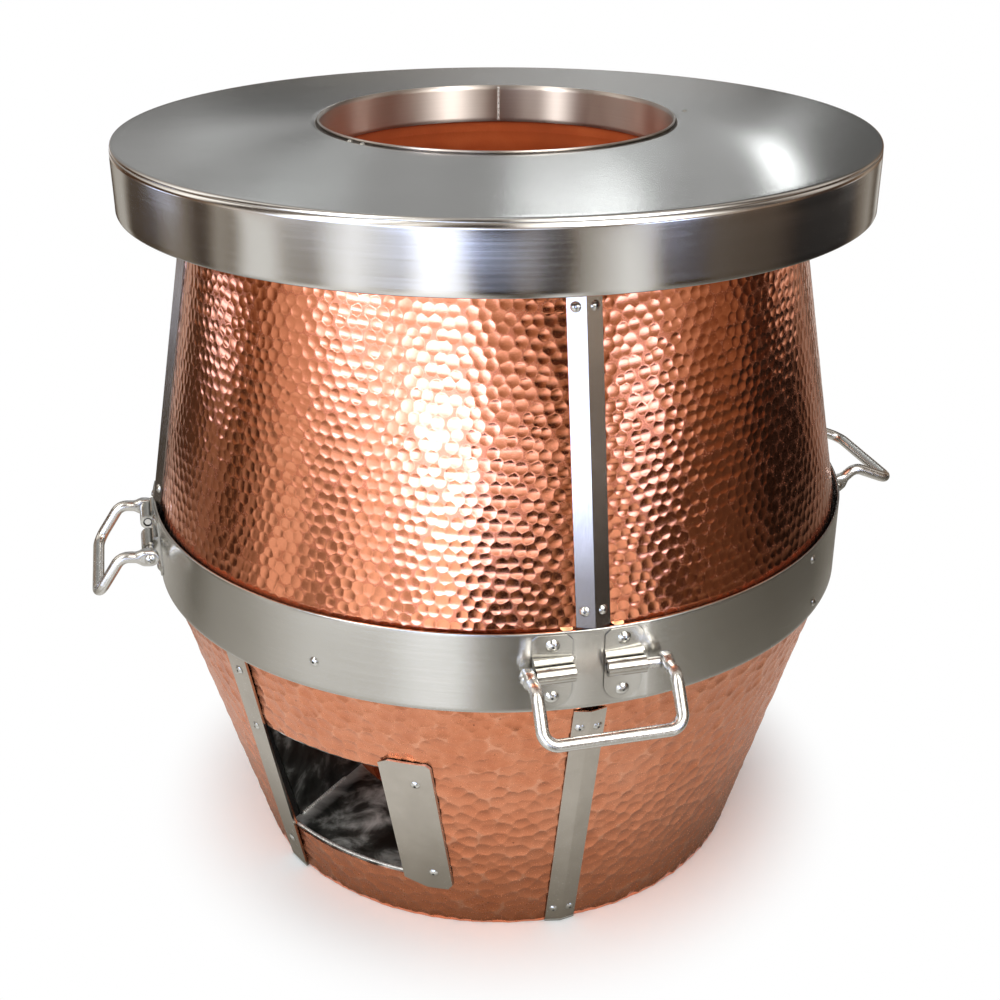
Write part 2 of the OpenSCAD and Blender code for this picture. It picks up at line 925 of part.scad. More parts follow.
base_plate();
hearth_slab();
pot_foot_ring();
pot_lower_ring();
pot_belly_ring();
pot_neck_ring();
insulation();
draught_duct();
lower_shell_left();
lower_shell_right();
upper_panel_front_left();
upper_panel_front_right();
upper_panel_rear_right();
upper_panel_rear_left();
upper_strip_front();
upper_strip_right();
upper_strip_rear();
upper_strip_left();
lower_strip_front();
lower_strip_rear();
door_strip();
door_plate();
waist_band();
rim_tabs();
top_plate();
top_skirt();
mouth_collar();
clip_front_left();
clip_front_right();
clip_right_left();
clip_right_right();
clip_rear_left();
clip_rear_right();
clip_left_left();
clip_left_right();
bail_front();
bail_right();
bail_rear();
bail_left();
pins_front();
pins_right();
pins_rear();
pins_left();
pin_screws_front();
pin_screws_right();
pin_screws_rear();
pin_screws_left();
clip_rivets();
upper_strip_rivets();
lower_strip_rivets();
door_rivets();
band_rivets();
top_screws();
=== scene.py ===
import bpy
import math
import numpy as np
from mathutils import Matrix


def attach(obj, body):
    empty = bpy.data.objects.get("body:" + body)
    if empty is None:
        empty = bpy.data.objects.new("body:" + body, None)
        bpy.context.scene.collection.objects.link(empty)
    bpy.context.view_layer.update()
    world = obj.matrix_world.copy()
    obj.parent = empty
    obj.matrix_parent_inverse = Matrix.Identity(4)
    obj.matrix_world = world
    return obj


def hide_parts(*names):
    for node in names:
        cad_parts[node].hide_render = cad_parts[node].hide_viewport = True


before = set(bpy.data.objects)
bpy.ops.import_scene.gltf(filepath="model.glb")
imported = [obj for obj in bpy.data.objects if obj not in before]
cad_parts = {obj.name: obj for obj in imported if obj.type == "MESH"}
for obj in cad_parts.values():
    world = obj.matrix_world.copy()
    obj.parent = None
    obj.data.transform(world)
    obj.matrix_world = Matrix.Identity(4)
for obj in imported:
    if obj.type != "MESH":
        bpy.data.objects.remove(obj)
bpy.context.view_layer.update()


# Camera: stands in front of the oven, a little to its left and about a metre up, and looks down
# on the mouth. camera_turn is how far left of the front it stands, in degrees.
camera_turn = 13.6
camera = bpy.data.objects.new("camera", bpy.data.cameras.new("camera"))
camera.data.lens = 52.56
camera.data.sensor_width = 36
camera.location = (-0.3507, -1.4497, 1.0597)
camera.rotation_euler = (math.radians(65.0), 0, math.radians(-13.743))
bpy.context.scene.collection.objects.link(camera)
bpy.context.scene.camera = camera
bpy.context.scene.view_settings.view_transform = "Standard"


# Floor and air of the studio: a pale sweep that fades into white, soft light from all round and
# one wide lamp over the left shoulder.
def make_mesh(name, points, faces):
    """Smooth object from a grid or list of points and a list of faces."""
    mesh = bpy.data.meshes.new(name)
    mesh.from_pydata(np.asarray(points, float).reshape(-1, 3).tolist(), [], faces)
    mesh.polygons.foreach_set("use_smooth", np.ones(len(mesh.polygons), bool))
    mesh.update()
    thing = bpy.data.objects.new(name, mesh)
    bpy.context.scene.collection.objects.link(thing)
    return thing


def grid_faces(rows, columns, wrap_rows=False, wrap_columns=False):
    """Quads of a grid of points. Point (i, j) is joined to (i, j+1), (i+1, j+1) and (i+1, j);
    a wrapped direction closes on its start."""
    i = np.arange(rows if wrap_rows else rows - 1)[:, None]
    j = np.arange(columns if wrap_columns else columns - 1)[None, :]
    ni, nj = (i + 1) % rows, (j + 1) % columns
    corners = [i * columns + j, i * columns + nj, ni * columns + nj, ni * columns + j]
    return np.stack(np.broadcast_arrays(*corners), -1).reshape(-1, 4).tolist()


def round_wall(radius, height, azimuth):
    """Points about the oven's axis: an azimuth turns from the front, -Y, towards +X."""
    return np.stack(np.broadcast_arrays(radius * np.sin(azimuth), -radius * np.cos(azimuth),
                                        height), -1)


class Nodes:
    """Short way to write a material: n(type, inputs, settings) adds a node and links or sets
    its inputs by name or number."""

    def __init__(self, name, kind="materials"):
        """Starts an empty material, or a world, of this name."""
        self.made = getattr(bpy.data, kind).new(name)
        self.made.use_nodes = True
        self.tree = self.made.node_tree
        self.tree.nodes.clear()

    def __call__(self, kind, inputs=None, **settings):
        """Adds a shader node of this kind: an input that is a socket is linked, any other is set."""
        node = self.tree.nodes.new("ShaderNode" + kind)
        for key, value in settings.items():
            setattr(node, key, value)
        for key, value in (inputs or {}).items():
            if isinstance(value, bpy.types.NodeSocket):
                self.tree.links.new(value, node.inputs[key])
            else:
                node.inputs[key].default_value = value
        return node

    def ramp(self, value, *stops):
        """Colour ramp over (position, colour) stops; a single number is a grey."""
        node = self("ValToRGB", {0: value})
        points = node.color_ramp.elements
        while len(points) < len(stops):
            points.new(0.5)
        for point, (place, colour) in zip(points, stops):
            point.position = place
            point.color = (*colour, 1) if isinstance(colour, tuple) else (colour,) * 3 + (1,)
        return node.outputs[0]

    def maths(self, operation, a, b=0.0, c=0.0):
        """Result of a sum or product of sockets and numbers."""
        return self("Math", {0: a, 1: b, 2: c}, operation=operation).outputs[0]

    def mix(self, amount, a, b):
        """Mix of two colours: a where the amount is 0, b where it is 1."""
        node = self("Mix", data_type="RGBA")
        for socket, value in zip((node.inputs[0], node.inputs[6], node.inputs[7]), (amount, a, b)):
            if isinstance(value, bpy.types.NodeSocket):
                self.tree.links.new(value, socket)
            elif isinstance(value, tuple):
                socket.default_value = (*value, 1)
            else:
                socket.default_value = value
        return node.outputs[2]

    def place(self, axis=None):
        """The object's own coordinates, or one of them: 0, 1 or 2."""
        whole = self("TexCoord").outputs["Object"]
        return whole if axis is None else self("SeparateXYZ", {0: whole}).outputs[axis]

    def fade(self, value, start, end, first=0.0, last=1.0):
        """Number that goes straight from first to last while the value goes from start to end."""
        return self("MapRange", {"Value": value, "From Min": start, "From Max": end,
                                 "To Min": first, "To Max": last}).outputs[0]

    def noise(self, scale, detail, roughness=0.5, distortion=0.0, place=None):
        """Cloudy values about a half, over the object's own coordinates or another place."""
        return self("TexNoise", {"Vector": place or self.place(), "Scale": scale, "Detail": detail,
                                 "Roughness": roughness, "Distortion": distortion}).outputs[0]

    def bump(self, height, strength, distance):
        """Normal of a surface that the height raises by up to the distance."""
        return self("Bump", {"Height": height, "Strength": strength, "Distance": distance}).outputs[0]

    def finish(self, shader):
        """Links the shader to the surface and gives back the finished material."""
        self("OutputMaterial", {"Surface": shader.outputs[0]})
        return self.made

    def surface(self, colour, roughness, metallic=0.0, **more):
        """Finished material of this colour and roughness, with more inputs by their names."""
        return self.finish(self("BsdfPrincipled", {
            "Base Color": colour, "Roughness": roughness, "Metallic": metallic, **more}))


floor_turn = np.radians(np.arange(0, 360, 6))
floor_rings = np.array([0.0001, 0.6, 1.2, 2.5, 5.0, 9.0])
floor = make_mesh("floor", round_wall(floor_rings[:, None], 0.0, -floor_turn[None, :])[::-1],
                  grid_faces(len(floor_rings), len(floor_turn), wrap_columns=True))
n = Nodes("pale_floor")
# distances from the axis between which the floor fades to white and loses its cool tint
fade_from, fade_to, tint_from, tint_to = 0.285, 0.42, 0.28, 0.48
reach = n("VectorMath", {0: n.place()}, operation="LENGTH").outputs["Value"]
edge = n("MapRange", {"Value": reach, "From Min": fade_from, "From Max": fade_to},
         interpolation_type="SMOOTHSTEP").outputs[0]
# painted light: the floor is tinted cool near the foot to cancel the warm light the copper throws on
# it
painted_tint_fade = n.fade(reach, tint_from, tint_to)
lit = n("BsdfDiffuse", {"Color": n.mix(painted_tint_fade, (0.90, 0.95, 0.965), (0.96, 0.965, 0.968))})
white = n("Emission", {"Color": (1, 1, 1, 1), "Strength": 1.0})
floor.data.materials.append(n.finish(n("MixShader", {0: edge, 1: lit.outputs[0],
                                                     2: white.outputs[0]})))

n = Nodes("studio_air", "worlds")
path = n("LightPath")
seen = path.outputs["Is Camera Ray"]
for other in ("Is Glossy Ray", "Is Transmission Ray"):
    seen = n.maths("MAXIMUM", seen, path.outputs[other])
soft_light = n("Background", {"Color": (1, 1, 1, 1), "Strength": 0.80}).outputs[0]
white_air = n("Background", {"Color": (1, 1, 1, 1), "Strength": 1.0}).outputs[0]
either = n("MixShader", {0: seen, 1: soft_light, 2: white_air}).outputs[0]
n("OutputWorld", {"Surface": either})
bpy.context.scene.world = n.made

lamp = bpy.data.objects.new("wide_lamp", bpy.data.lights.new("wide_lamp", "AREA"))
lamp.data.size = 2.4
lamp.data.energy = 34
lamp.location = (-1.6, -1.9, 2.6)
lamp.rotation_euler = (math.radians(42), 0, math.radians(-40))
lamp.visible_glossy = False
bpy.context.scene.collection.objects.link(lamp)


# Studio: one shell of light and dark panels, from the floor round the foot up to the ceiling, that
# only reflections see; its panels give the bright and dark columns of the polished metal.
def level_at(turn, stops, nearness):
    """Brightness at each azimuth, straight between the stops, each (azimuth of the reflected ray,
    level). nearness is the metal's radius over the panel's, which moves the ray's place aside,
    with the metal's own azimuth taken as 0.55 of the ray's."""
    place, level = np.array(stops, float).T
    aside = np.degrees(np.arcsin(nearness * np.sin(np.radians(0.55 * place))))
    return np.interp(turn, place - aside, level, period=360)


def streak(turn, lift, start, end, width):
    """Soft streak of light between two places (azimuth, height angle) of the shell. It fades by
    the exponential of minus the squared share of distance to width."""
    (x0, y0), (x1, y1) = start, end
    share = ((turn - x0) * (x1 - x0) + (lift - y0) * (y1 - y0)) / ((x1 - x0) ** 2 + (y1 - y0) ** 2)
    share = np.clip(share, 0, 1)
    away = np.hypot(turn - x0 - share * (x1 - x0), lift - y0 - share * (y1 - y0))
    return np.exp(-(away / width) ** 2)


# azimuths are taken from the camera's own direction, left negative
foot_stops = [(-150, 0.78), (-120, 0.80), (-89, 0.90), (-60, 1.0), (-40, 1.05), (0, 1.0),
              (30, 0.88), (45, 0.84), (60, 0.68), (100, 0.60), (130, 0.82), (150, 0.95)]
band_stops = [(-172, 0.10), (-157, 0.12), (-147, 0.54), (-136, 0.42), (-126, 0.32), (-115, 0.14),
              (-105, 0.30), (-83, 0.46), (-60, 0.84), (-37, 0.78), (-24, 1.20), (-13, 1.20),
              (-4, 0.42), (2, 0.24), (9, 0.05), (14, 0.30), (21, 0.90), (33, 0.34), (44, 1.0),
              (54, 0.30), (70, 0.18), (100, 0.11), (125, 0.10), (142, 0.20), (150, 0.18),
              (163, 0.44), (172, 0.08)]
skirt_stops = [(-180, 0.36), (-174, 0.04), (-157, 0.06), (-150, 0.40), (-140, 0.50), (-134, 0.05),
               (-118, 0.07), (-108, 0.24), (-100, 0.18), (-94, 0.03), (-90, 0.05), (-86, 0.34),
               (-80, 0.18), (-75, 0.80), (-67, 0.80), (-61, 0.36), (-52, 0.26), (-46, 0.80),
               (-40, 1.16), (-33, 0.72), (-26, 0.55), (-20, 1.5), (-11, 1.3), (-6, 0.12),
               (-3, 0.02), (3, 0.015), (7, 0.15), (10, 0.16), (14, 0.02), (19, 0.02), (23, 0.32),
               (30, 0.64), (37, 0.95), (43, 0.74), (48, 0.08), (58, 0.035), (65, 0.09),
               (85, 0.06), (92, 0.025), (97, 0.004), (124, 0.006), (129, 0.10), (140, 0.34),
               (148, 0.03), (155, 0.72), (160, 0.10), (168, 0.04), (174, 0.22)]
wall_low_stops = [(-172, 1.6), (-162, 1.3), (-152, 0.60), (-140, 0.14), (-131, 0.10),
                  (-121, 0.35), (-114, 2.4), (-104, 2.4), (-98, 0.20), (-89, 0.27), (-79, 0.60),
                  (-67, 0.55), (-56, 0.95), (-45, 1.15), (-34, 1.6), (-27, 3.4), (-7, 3.8),
                  (-2, 2.6), (5, 2.4), (12, 1.9), (17, 0.5), (23, 0.08), (34, 0.08), (40, 0.20),
                  (48, 0.12), (56, 0.07), (67, 0.09), (78, 0.14), (89, 0.18), (100, 0.03),
                  (111, 0.05), (116, 0.60), (121, 0.95), (134, 0.36), (142, 0.20), (152, 0.14)]
wall_middle_stops = [(-172, 1.6), (-162, 1.4), (-152, 0.90), (-142, 0.45), (-133, 0.05),
                     (-121, 0.06), (-116, 0.20), (-107, 0.24), (-99, 0.30), (-89, 0.12), (-82, 0.62),
                     (-67, 0.65), (-56, 1.1), (-45, 1.3), (-34, 1.6), (-27, 3.4), (-7, 3.8),
                     (-2, 0.90), (4, 1.0), (11, 1.35), (18, 0.95), (23, 0.35), (30, 0.26),
                     (37, 0.60), (43, 3.0), (53, 3.1), (60, 0.70), (68, 0.34), (78, 0.14),
                     (89, 0.26), (97, 0.04), (111, 0.005), (116, 0.12), (123, 0.30), (134, 0.36),
                     (145, 0.14), (152, 0.14), (165, 0.38), (178, 0.5)]
wall_top_stops = [(-172, 0.55), (-152, 0.40), (-142, 0.26), (-132, 0.07), (-121, 0.05), (-111, 0.04),
                  (-100, 0.06), (-89, 0.14), (-82, 0.55), (-67, 0.9), (-57, 3.4), (-42, 4.2),
                  (-34, 1.4), (-26, 3.2), (-10, 2.8), (-4, 0.75), (5, 0.50), (12, 0.30),
                  (18, 0.02), (24, 0.003), (31, 0.05), (38, 0.48), (45, 0.44), (56, 0.46),
                  (67, 0.55), (78, 0.32), (89, 0.20), (97, 0.03), (111, 0.03), (121, 0.10),
                  (132, 0.45), (142, 0.26), (152, 0.10), (165, 0.16)]
# high over the camera: the tall lights that the collar's far wall spreads into columns
mouth_stops = [(-134, 0.3), (-113, 0.8), (-95, 1.6), (-82, 0.04), (-68, 0.15), (-60, 0.3),
               (-52, 4.5), (-44, 9.0), (-37, 2.2), (-30, 0.6), (-24, 1.6), (-14, 0.2),
               (-5, 0.04), (3, 0.04), (10, 1.8), (16, 2.4), (25, 6.0), (35, 9.0), (44, 5.0),
               (56, 2.0), (68, 0.3), (80, 0.04), (95, 0.4), (108, 0.8), (128, 0.05), (150, 0.1)]
# what the plate mirrors from behind the oven, just above it and higher up; these azimuths are
# taken from straight behind
low_back_stops = [(-30, 0.3), (-18, 0.11), (-14.8, 0.03), (-12, 0.03), (-9, 0.09), (-6, 0.14),
                  (0, 0.37), (6, 0.46), (11, 0.36), (13.3, 0.26), (15.3, 0.12), (18, 0.11),
                  (21, 0.10), (40, 0.12)]
high_back_stops = [(-30, 0.3), (-20.6, 0.36), (-17.7, 0.54), (-15.3, 0.50), (-12, 0.42), (-9, 0.34),
                   (-5, 0.36), (0, 0.32), (6, 0.34), (11.4, 0.34), (14.4, 0.44), (19.6, 0.13),
                   (22, 0.11), (40, 0.15)]
# streaks across it: (strength, start, end, width)
plate_streaks = [(-0.45, (-19, 16.4), (-12, 14.0), 1.2), (0.5, (-14, 19.0), (-10, 19.5), 1.2),
                 (6.0, (2.2, 24.8), (8.6, 23.2), 1.2), (0.5, (6.5, 20.0), (10.0, 15.0), 1.3),
                 (4.0, (16.8, 12.6), (18.4, 17.4), 0.75)]

# how red each level is: (level, green share, blue share)
floor_tint = np.array([(0.02, 0.70, 0.45), (0.10, 0.88, 0.70), (0.3, 0.93, 0.82), (0.7, 0.97, 0.92),
                       (1.1, 1.0, 1.0)])
skirt_tint = np.array([(0.01, 0.55, 0.28), (0.04, 0.66, 0.42), (0.1, 0.76, 0.54), (0.35, 0.92, 0.80),
                       (0.8, 0.98, 0.94), (1.3, 1.0, 1.0)])
wall_tint = np.array([(0.04, 0.42, 0.18), (0.2, 0.64, 0.40), (0.45, 0.84, 0.68), (0.8, 0.94, 0.90),
                      (1.2, 1.02, 1.12), (2.2, 1.14, 1.55), (4.0, 1.26, 2.1)])
plate_tint = np.array([(0.1, 0.98, 0.94), (0.4, 1.0, 0.99), (0.8, 1.05, 1.04), (1.5, 1.03, 1.03)])
mouth_tint = np.array([(0.1, 0.80, 0.66), (0.5, 0.90, 0.80), (1.5, 0.96, 0.90), (4.0, 0.98, 0.95)])

# behind is the azimuth from straight behind the oven, and the rear's share falls from 1 at 35
# degrees to 0 at 55
shell_turn = np.radians(np.arange(0, 360, 0.5)) - math.pi
seen_turn = np.degrees(shell_turn) + camera_turn
behind = 180 - (seen_turn + 360) % 360
rear_share = np.clip((55 - np.abs(behind)) / 20, 0, 1)[:, None]
shell_r, dome_r, dome_z, ground = 3.0, 3.28, 0.785, 0.003
foot_near, band_near, skirt_near, wall_near = 0.3, 0.36, 0.127, 0.12


def tinted(level, tint):
    """Colour at each level: red is the level, green and blue are shares of it, read straight
    between the rows of the tint."""
    green, blue = (np.interp(level, tint[:, 0], tint[:, i]) for i in (1, 2))
    return np.stack([level, level * green, level * blue], -1)


shell_places, glow = [], []
for r, share in ((0.2792, 0.16), (0.285, 0.24), (0.34, 0.42), (0.42, 0.74), (0.54, 0.76),
                 (0.70, 0.44)):
    shell_places.append((r, ground))
    glow.append(tinted(share * level_at(seen_turn, foot_stops, foot_near), floor_tint))
for stops, nearness, tint, places in (
        (band_stops, band_near, floor_tint, ((0.88, ground), (1.4, ground))),
        (skirt_stops, skirt_near, skirt_tint, ((1.8, ground), (shell_r, ground), (shell_r, 0.19))),
        (wall_low_stops, wall_near, wall_tint, ((shell_r, 0.25), (shell_r, 0.32))),
        (wall_middle_stops, wall_near, wall_tint, ((shell_r, 0.39), (shell_r, 0.53))),
        (wall_top_stops, wall_near, wall_tint, ((shell_r, 0.72), (shell_r, 0.82)))):
    for place in places:
        shell_places.append(place)
        glow.append(tinted(level_at(seen_turn, stops, nearness), tint))

# above the plate the rows follow height angles, first up the wall, then over the dome, and blend
# the rear's levels into the front's
front_level = 0.7 * np.minimum(level_at(seen_turn, wall_top_stops, wall_near), 1.6) + 0.04
mouth_level = level_at(seen_turn, mouth_stops, 0)
for lift in list(range(2, 28)) + list(range(31, 89, 5)):
    slope = math.radians(lift)
    shell_places.append((shell_r, dome_z + shell_r * math.tan(slope)) if lift < 28 else
                        (dome_r * math.cos(slope), dome_z + dome_r * math.sin(slope)))
    up = min(max((lift - 7) / 4, 0), 1)
    rear = (1 - up) * np.interp(behind, *np.array(low_back_stops).T) + up * np.interp(
        behind, *np.array(high_back_stops).T)
    for strength, start, end, width in plate_streaks:
        rear = rear + strength * streak(behind, lift, start, end, width)
    high, ceiling = np.clip((lift - 8) / 7, 0, 1), np.clip((lift - 40) / 30, 0, 1)
    front = ((1 - high) * front_level + high * mouth_level) * (1 - ceiling) + 0.5 * ceiling
    glow.append(rear_share * tinted(np.maximum(rear, 0.02), plate_tint)
                + (1 - rear_share) * tinted(front, wall_tint if lift < 10 else mouth_tint))
shell_places, glow = np.array(shell_places), np.array(glow)
studio = make_mesh("studio_shell",
                   round_wall(shell_places[:, :1], shell_places[:, 1:], shell_turn),
                   grid_faces(*glow.shape[:2], wrap_columns=True))
layer = studio.data.color_attributes.new("glow", "FLOAT_COLOR", "POINT")
layer.data.foreach_set("color", np.concatenate([glow, np.ones_like(glow[..., :1])],
                                               -1).astype(np.float32).ravel())
n = Nodes("studio_shell")
studio.data.materials.append(n.finish(n("Emission", {
    "Color": n("VertexColor", layer_name="glow").outputs[0], "Strength": 1.0})))
studio.data.materials[0].cycles.emission_sampling = "NONE"
for way in ("camera", "diffuse", "shadow", "transmission", "volume_scatter"):
    setattr(studio, "visible_" + way, False)


# Foot and hearth: a steel plate closes the casing's foot and carries the firebrick slab, which
# shows only through the mouth and the draught opening.
def finish_node(material, *nodes):
    """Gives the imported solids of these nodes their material."""
    for node in nodes:
        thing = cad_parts[node]
        thing.data.materials.clear()
        thing.data.materials.append(material)


n = Nodes("mill_steel")
mill_steel = n.surface(n.ramp(n.noise(90.0, 6.0), (0.3, 0.16), (0.7, 0.28)), 0.55, 1.0)
finish_node(mill_steel, "base_plate")

n = Nodes("firebrick")
grain = n.noise(60.0, 8.0, 0.7)
pits = n("TexVoronoi", {"Vector": n.place(), "Scale": 160.0}).outputs[0]
firebrick = n.surface(n.ramp(grain, (0.3, (0.34, 0.2, 0.12)), (0.7, (0.62, 0.43, 0.29))), 0.95,
                      Normal=n.bump(n.maths("MULTIPLY", grain, pits), 0.6, 0.002))
finish_node(firebrick, "hearth_slab")


# Clay pot: hand-built terracotta in four rings, smoothed with a wet cloth, so it shows faint
# rings of wiping and paler dust; it stands on the slab and its neck ends behind the steel collar.
n = Nodes("terracotta")
rings = n("TexWave", {"Vector": n.place(), "Scale": 14.0, "Distortion": 1.6, "Detail": 3.0},
          bands_direction="Z").outputs[0]
clay = n.ramp(n.noise(7.0, 8.0, 0.62), (0.3, (0.38, 0.068, 0.013)), (0.55, (0.54, 0.100, 0.020)),
              (0.75, (0.66, 0.15, 0.040)))
clay = n.mix(0.22, clay, n.ramp(rings, (0.0, (0.36, 0.06, 0.014)), (1.0, (0.66, 0.15, 0.045))))
wiped = n.maths("MULTIPLY_ADD", n.noise(420.0, 3.0), 0.35, rings)
terracotta = n.surface(clay, 0.78, Normal=n.bump(wiped, 0.25, 0.002))
finish_node(terracotta, "pot_foot_ring", "pot_lower_ring", "pot_belly_ring", "pot_neck_ring")


# Insulation: pale mineral wool packed between the pot and the casing, near-black round the
# draught opening.
n = Nodes("mineral_wool")
fibre = n.noise(130.0, 9.0, distortion=1.5)
away_from_opening = n.fade(n.maths("ADD", n.place(0), n.place(1)), -0.33, -0.27)
pale = n.ramp(fibre, (0.3, (0.55, 0.48, 0.36)), (0.7, (0.80, 0.76, 0.66)))
wool = n.surface(n.mix(away_from_opening, (0.012, 0.011, 0.010), pale), 1.0, Normal=n.bump(fibre, 0.7, 0.003))
finish_node(wool, "insulation")


# Draught duct: a box of black-stained sheet steel from the opening to the pot, with sooty smears
# on its floor, and a bright beaded weld along the floor's left corner.
n = Nodes("stained_steel")
smear = n.noise(1.0, 7.0, 0.55, 0.9, n("Mapping", {
    "Vector": n.place(), "Rotation": (0, 0, 0.5), "Scale": (9, 22, 14)}).outputs[0])
cloud = n.noise(26.0, 6.0, 0.6, 0.6)
stain = n.ramp(n.maths("MULTIPLY_ADD", cloud, 0.6, n.maths("MULTIPLY", smear, 0.4)),
               (0.44, (0.014, 0.016, 0.014)), (0.51, (0.06, 0.064, 0.058)),
               (0.58, (0.34, 0.355, 0.335)), (0.66, (0.80, 0.81, 0.78)))
across = n("Mapping", {"Vector": n.place(), "Rotation": (0, 0, math.radians(45))}).outputs[0]
near_weld = n.fade(n("SeparateXYZ", {0: across}).outputs[0], -0.085, -0.060, 0.9, 0.0)
flat = n("SeparateXYZ", {0: n("NewGeometry").outputs["Normal"]}).outputs[2]
near_weld = n.maths("MULTIPLY", near_weld, n.maths("MAXIMUM", flat, 0.0))
stain = n.mix(n.ramp(n.maths("MULTIPLY", near_weld, cloud), (0.15, 0.0), (0.5, 1.0)), stain,
              (0.95, 0.97, 0.93))
stained_steel = n.surface(stain, n.ramp(smear, (0.35, 0.30), (0.65, 0.5)), 0.35)
finish_node(stained_steel, "draught_duct")


# the opening's azimuth, its edges beside its middle and the top of the duct's floor, then the
# cone of the lower casing
door_turn, cut_left, cut_right, duct_floor = math.radians(-45), -0.082, 0.086, 0.0701
foot_r, waist_r, waist_z = 0.279, 0.368, 0.3256
lower_lean = (waist_r - foot_r) / waist_z


def door_place(across, out, z):
    """Points beside the opening's middle plane, at a distance out along it and at a height."""
    across, out, z = np.broadcast_arrays(across, out, z)
    return np.stack([across * math.cos(door_turn) + out * math.sin(door_turn),
                     across * math.sin(door_turn) - out * math.cos(door_turn), z], -1)


def tube_faces(rows, columns):
    """Quads of a tube whose rows are its rings, and a flat face over each end."""
    return grid_faces(rows, columns, wrap_columns=True) + [
        list(range(columns))[::-1], list(range((rows - 1) * columns, rows * columns))]


def dress(thing, body, slot, material, *nodes):
    """Rides the piece on its body, gives it its material and hides the imported nodes that it stands
    for. The slot is not used.
    """
    thing.data.materials.append(material)
    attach(thing, body)
    if nodes:
        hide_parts(*nodes)


# the weld's beads follow one another along the corner, each a small swell of the seam
weld_corner, weld_z, weld_start, weld_length = cut_left - 0.0042, duct_floor + 0.0007, 0.190, 0.077
weld_r, weld_swell, weld_beads = 0.0013, 0.0010, 26
along = np.linspace(0, 1, 181)[:, None]
side = np.radians(np.arange(0, 360, 45))[None, :]
swell = weld_r + weld_swell * np.abs(np.sin(along * weld_beads * math.pi)) * np.clip(
    np.minimum(along, 1 - along) * 40, 0, 1)
bead = make_mesh("duct_weld_bead", door_place(
    weld_corner + swell * np.cos(side), weld_start + weld_length * along,
    weld_z + swell * np.sin(side)), tube_faces(181, 8))
n = Nodes("weld_steel")
weld_steel = n.surface(n.ramp(n.noise(500.0, 4.0), (0.35, (0.55, 0.54, 0.50)),
                              (0.6, (0.95, 0.94, 0.90))), 0.35, 0.3)
dress(bead, "root", "duct_steel", weld_steel)

# bright front edge of the duct's floor, just inside the copper
lip_gap, lip_set, lip_depth, lip_thick = 0.0005, 0.002475, 0.0034, 0.0012
across = np.linspace(cut_left + lip_gap, cut_right - lip_gap, 60)[:, None]
lip_r = foot_r + duct_floor * lower_lean - lip_set
inward, upward = np.array([(0, 0), (0, lip_thick), (lip_depth, lip_thick), (lip_depth, 0)]).T
lip = make_mesh("duct_floor_lip", door_place(
    across, np.sqrt(lip_r ** 2 - across ** 2) - inward, duct_floor + upward), tube_faces(60, 4))
dress(lip, "root", "duct_steel", weld_steel)


# Lower casing: two satin copper shells, planished with a broad hammer into soft overlapping
# facets, closed at the front and rear under the lower seam strips.
band_in_r, band_play, hem_z, half_gap, sheet = 0.3722, 0.0001, 0.3969, 0.0003, 0.0022
hem_r = band_in_r - band_play
flare_z = (hem_r - foot_r) / lower_lean
hem = 0.4 * (hem_z - flare_z)
# pitch along and up, size, depth, ease and shake of the blows
facet_blows = ((0.0158, 0.0136), 0.0108, 0.00130, 0.00006, 0.34)


def hammered(along, up, pitch, size, depth, ease, shake, seed):
    """Depth of a hammered sheet at places along and up it, laid out flat. The blows lie a pitch
    apart in staggered rows, each shaken off its place by a share of the pitch, and up to 12 % off
    the size and 30 % off the depth. A blow is a paraboloid bowl, the sheet between them is flat,
    and at each place the deepest counts, eased over the given length."""
    noise = np.random.default_rng(seed).uniform(-1, 1, (4, 256, 256))
    row, total = np.floor(up / pitch[1]).astype(int), 1.0
    for i in (row - 1, row, row + 1):
        stagger = 0.5 * (i % 2)
        column = np.floor(along / pitch[0] - stagger).astype(int)
        for j in (column - 1, column, column + 1):
            aside, aloft, wider, deeper = noise[:, i % 256, j % 256]
            x = (j + 0.5 + stagger + shake * aside) * pitch[0]
            y = (i + 0.5 + shake * aloft) * pitch[1]
            reach = size * (1 + 0.12 * wider)
            bowl = 1 - ((along - x) ** 2 + (up - y) ** 2) / reach ** 2
            total = total + np.exp(np.maximum(depth * (1 + 0.3 * deeper) * bowl / ease, -9))
    return ease * np.log(total)


def hammered_cone(r, z, turn, lean, middle, fade, blows):
    """Points, normals and share of depth of a hammered cone. The cone is unrolled about its
    middle azimuth into a flat sector, hammered there and rolled again, so that every blow stays
    round; lean is its growth in radius with height, and fade scales the blows at each height. A
    normal is the cone's own, tipped by the fall of the dent over a short step each way."""
    sine, cosine = math.sin(math.atan(lean)), math.cos(math.atan(lean))
    way = math.copysign(1, lean)
    slant, swing = r / abs(sine), (turn - middle) * abs(sine)
    along, up = slant * np.sin(swing), way * (slant * np.cos(swing) - waist_r / abs(sine))
    step = 0.0003
    dent = hammered(along, up, *blows) * fade
    along_fall = (hammered(along + step, up, *blows) - hammered(along - step, up, *blows)) * fade
    up_fall = (hammered(along, up + step, *blows) - hammered(along, up - step, *blows)) * fade
    outward = round_wall(1.0, 0.0, turn)
    around = np.stack([np.cos(turn), np.sin(turn), 0 * turn], -1)
    upright = np.array((0.0, 0.0, 1.0))
    rise = outward * sine + upright * cosine
    along_way = np.sin(swing)[..., None] * way * rise + np.cos(swing)[..., None] * around
    up_way = np.cos(swing)[..., None] * rise - way * np.sin(swing)[..., None] * around
    normal = outward * cosine - upright * sine + (
        along_fall[..., None] * along_way + up_fall[..., None] * up_way) / (2 * step)
    normal /= np.linalg.norm(normal, axis=-1, keepdims=True)
    return round_wall(r - dent, z, turn), normal, dent / blows[2]


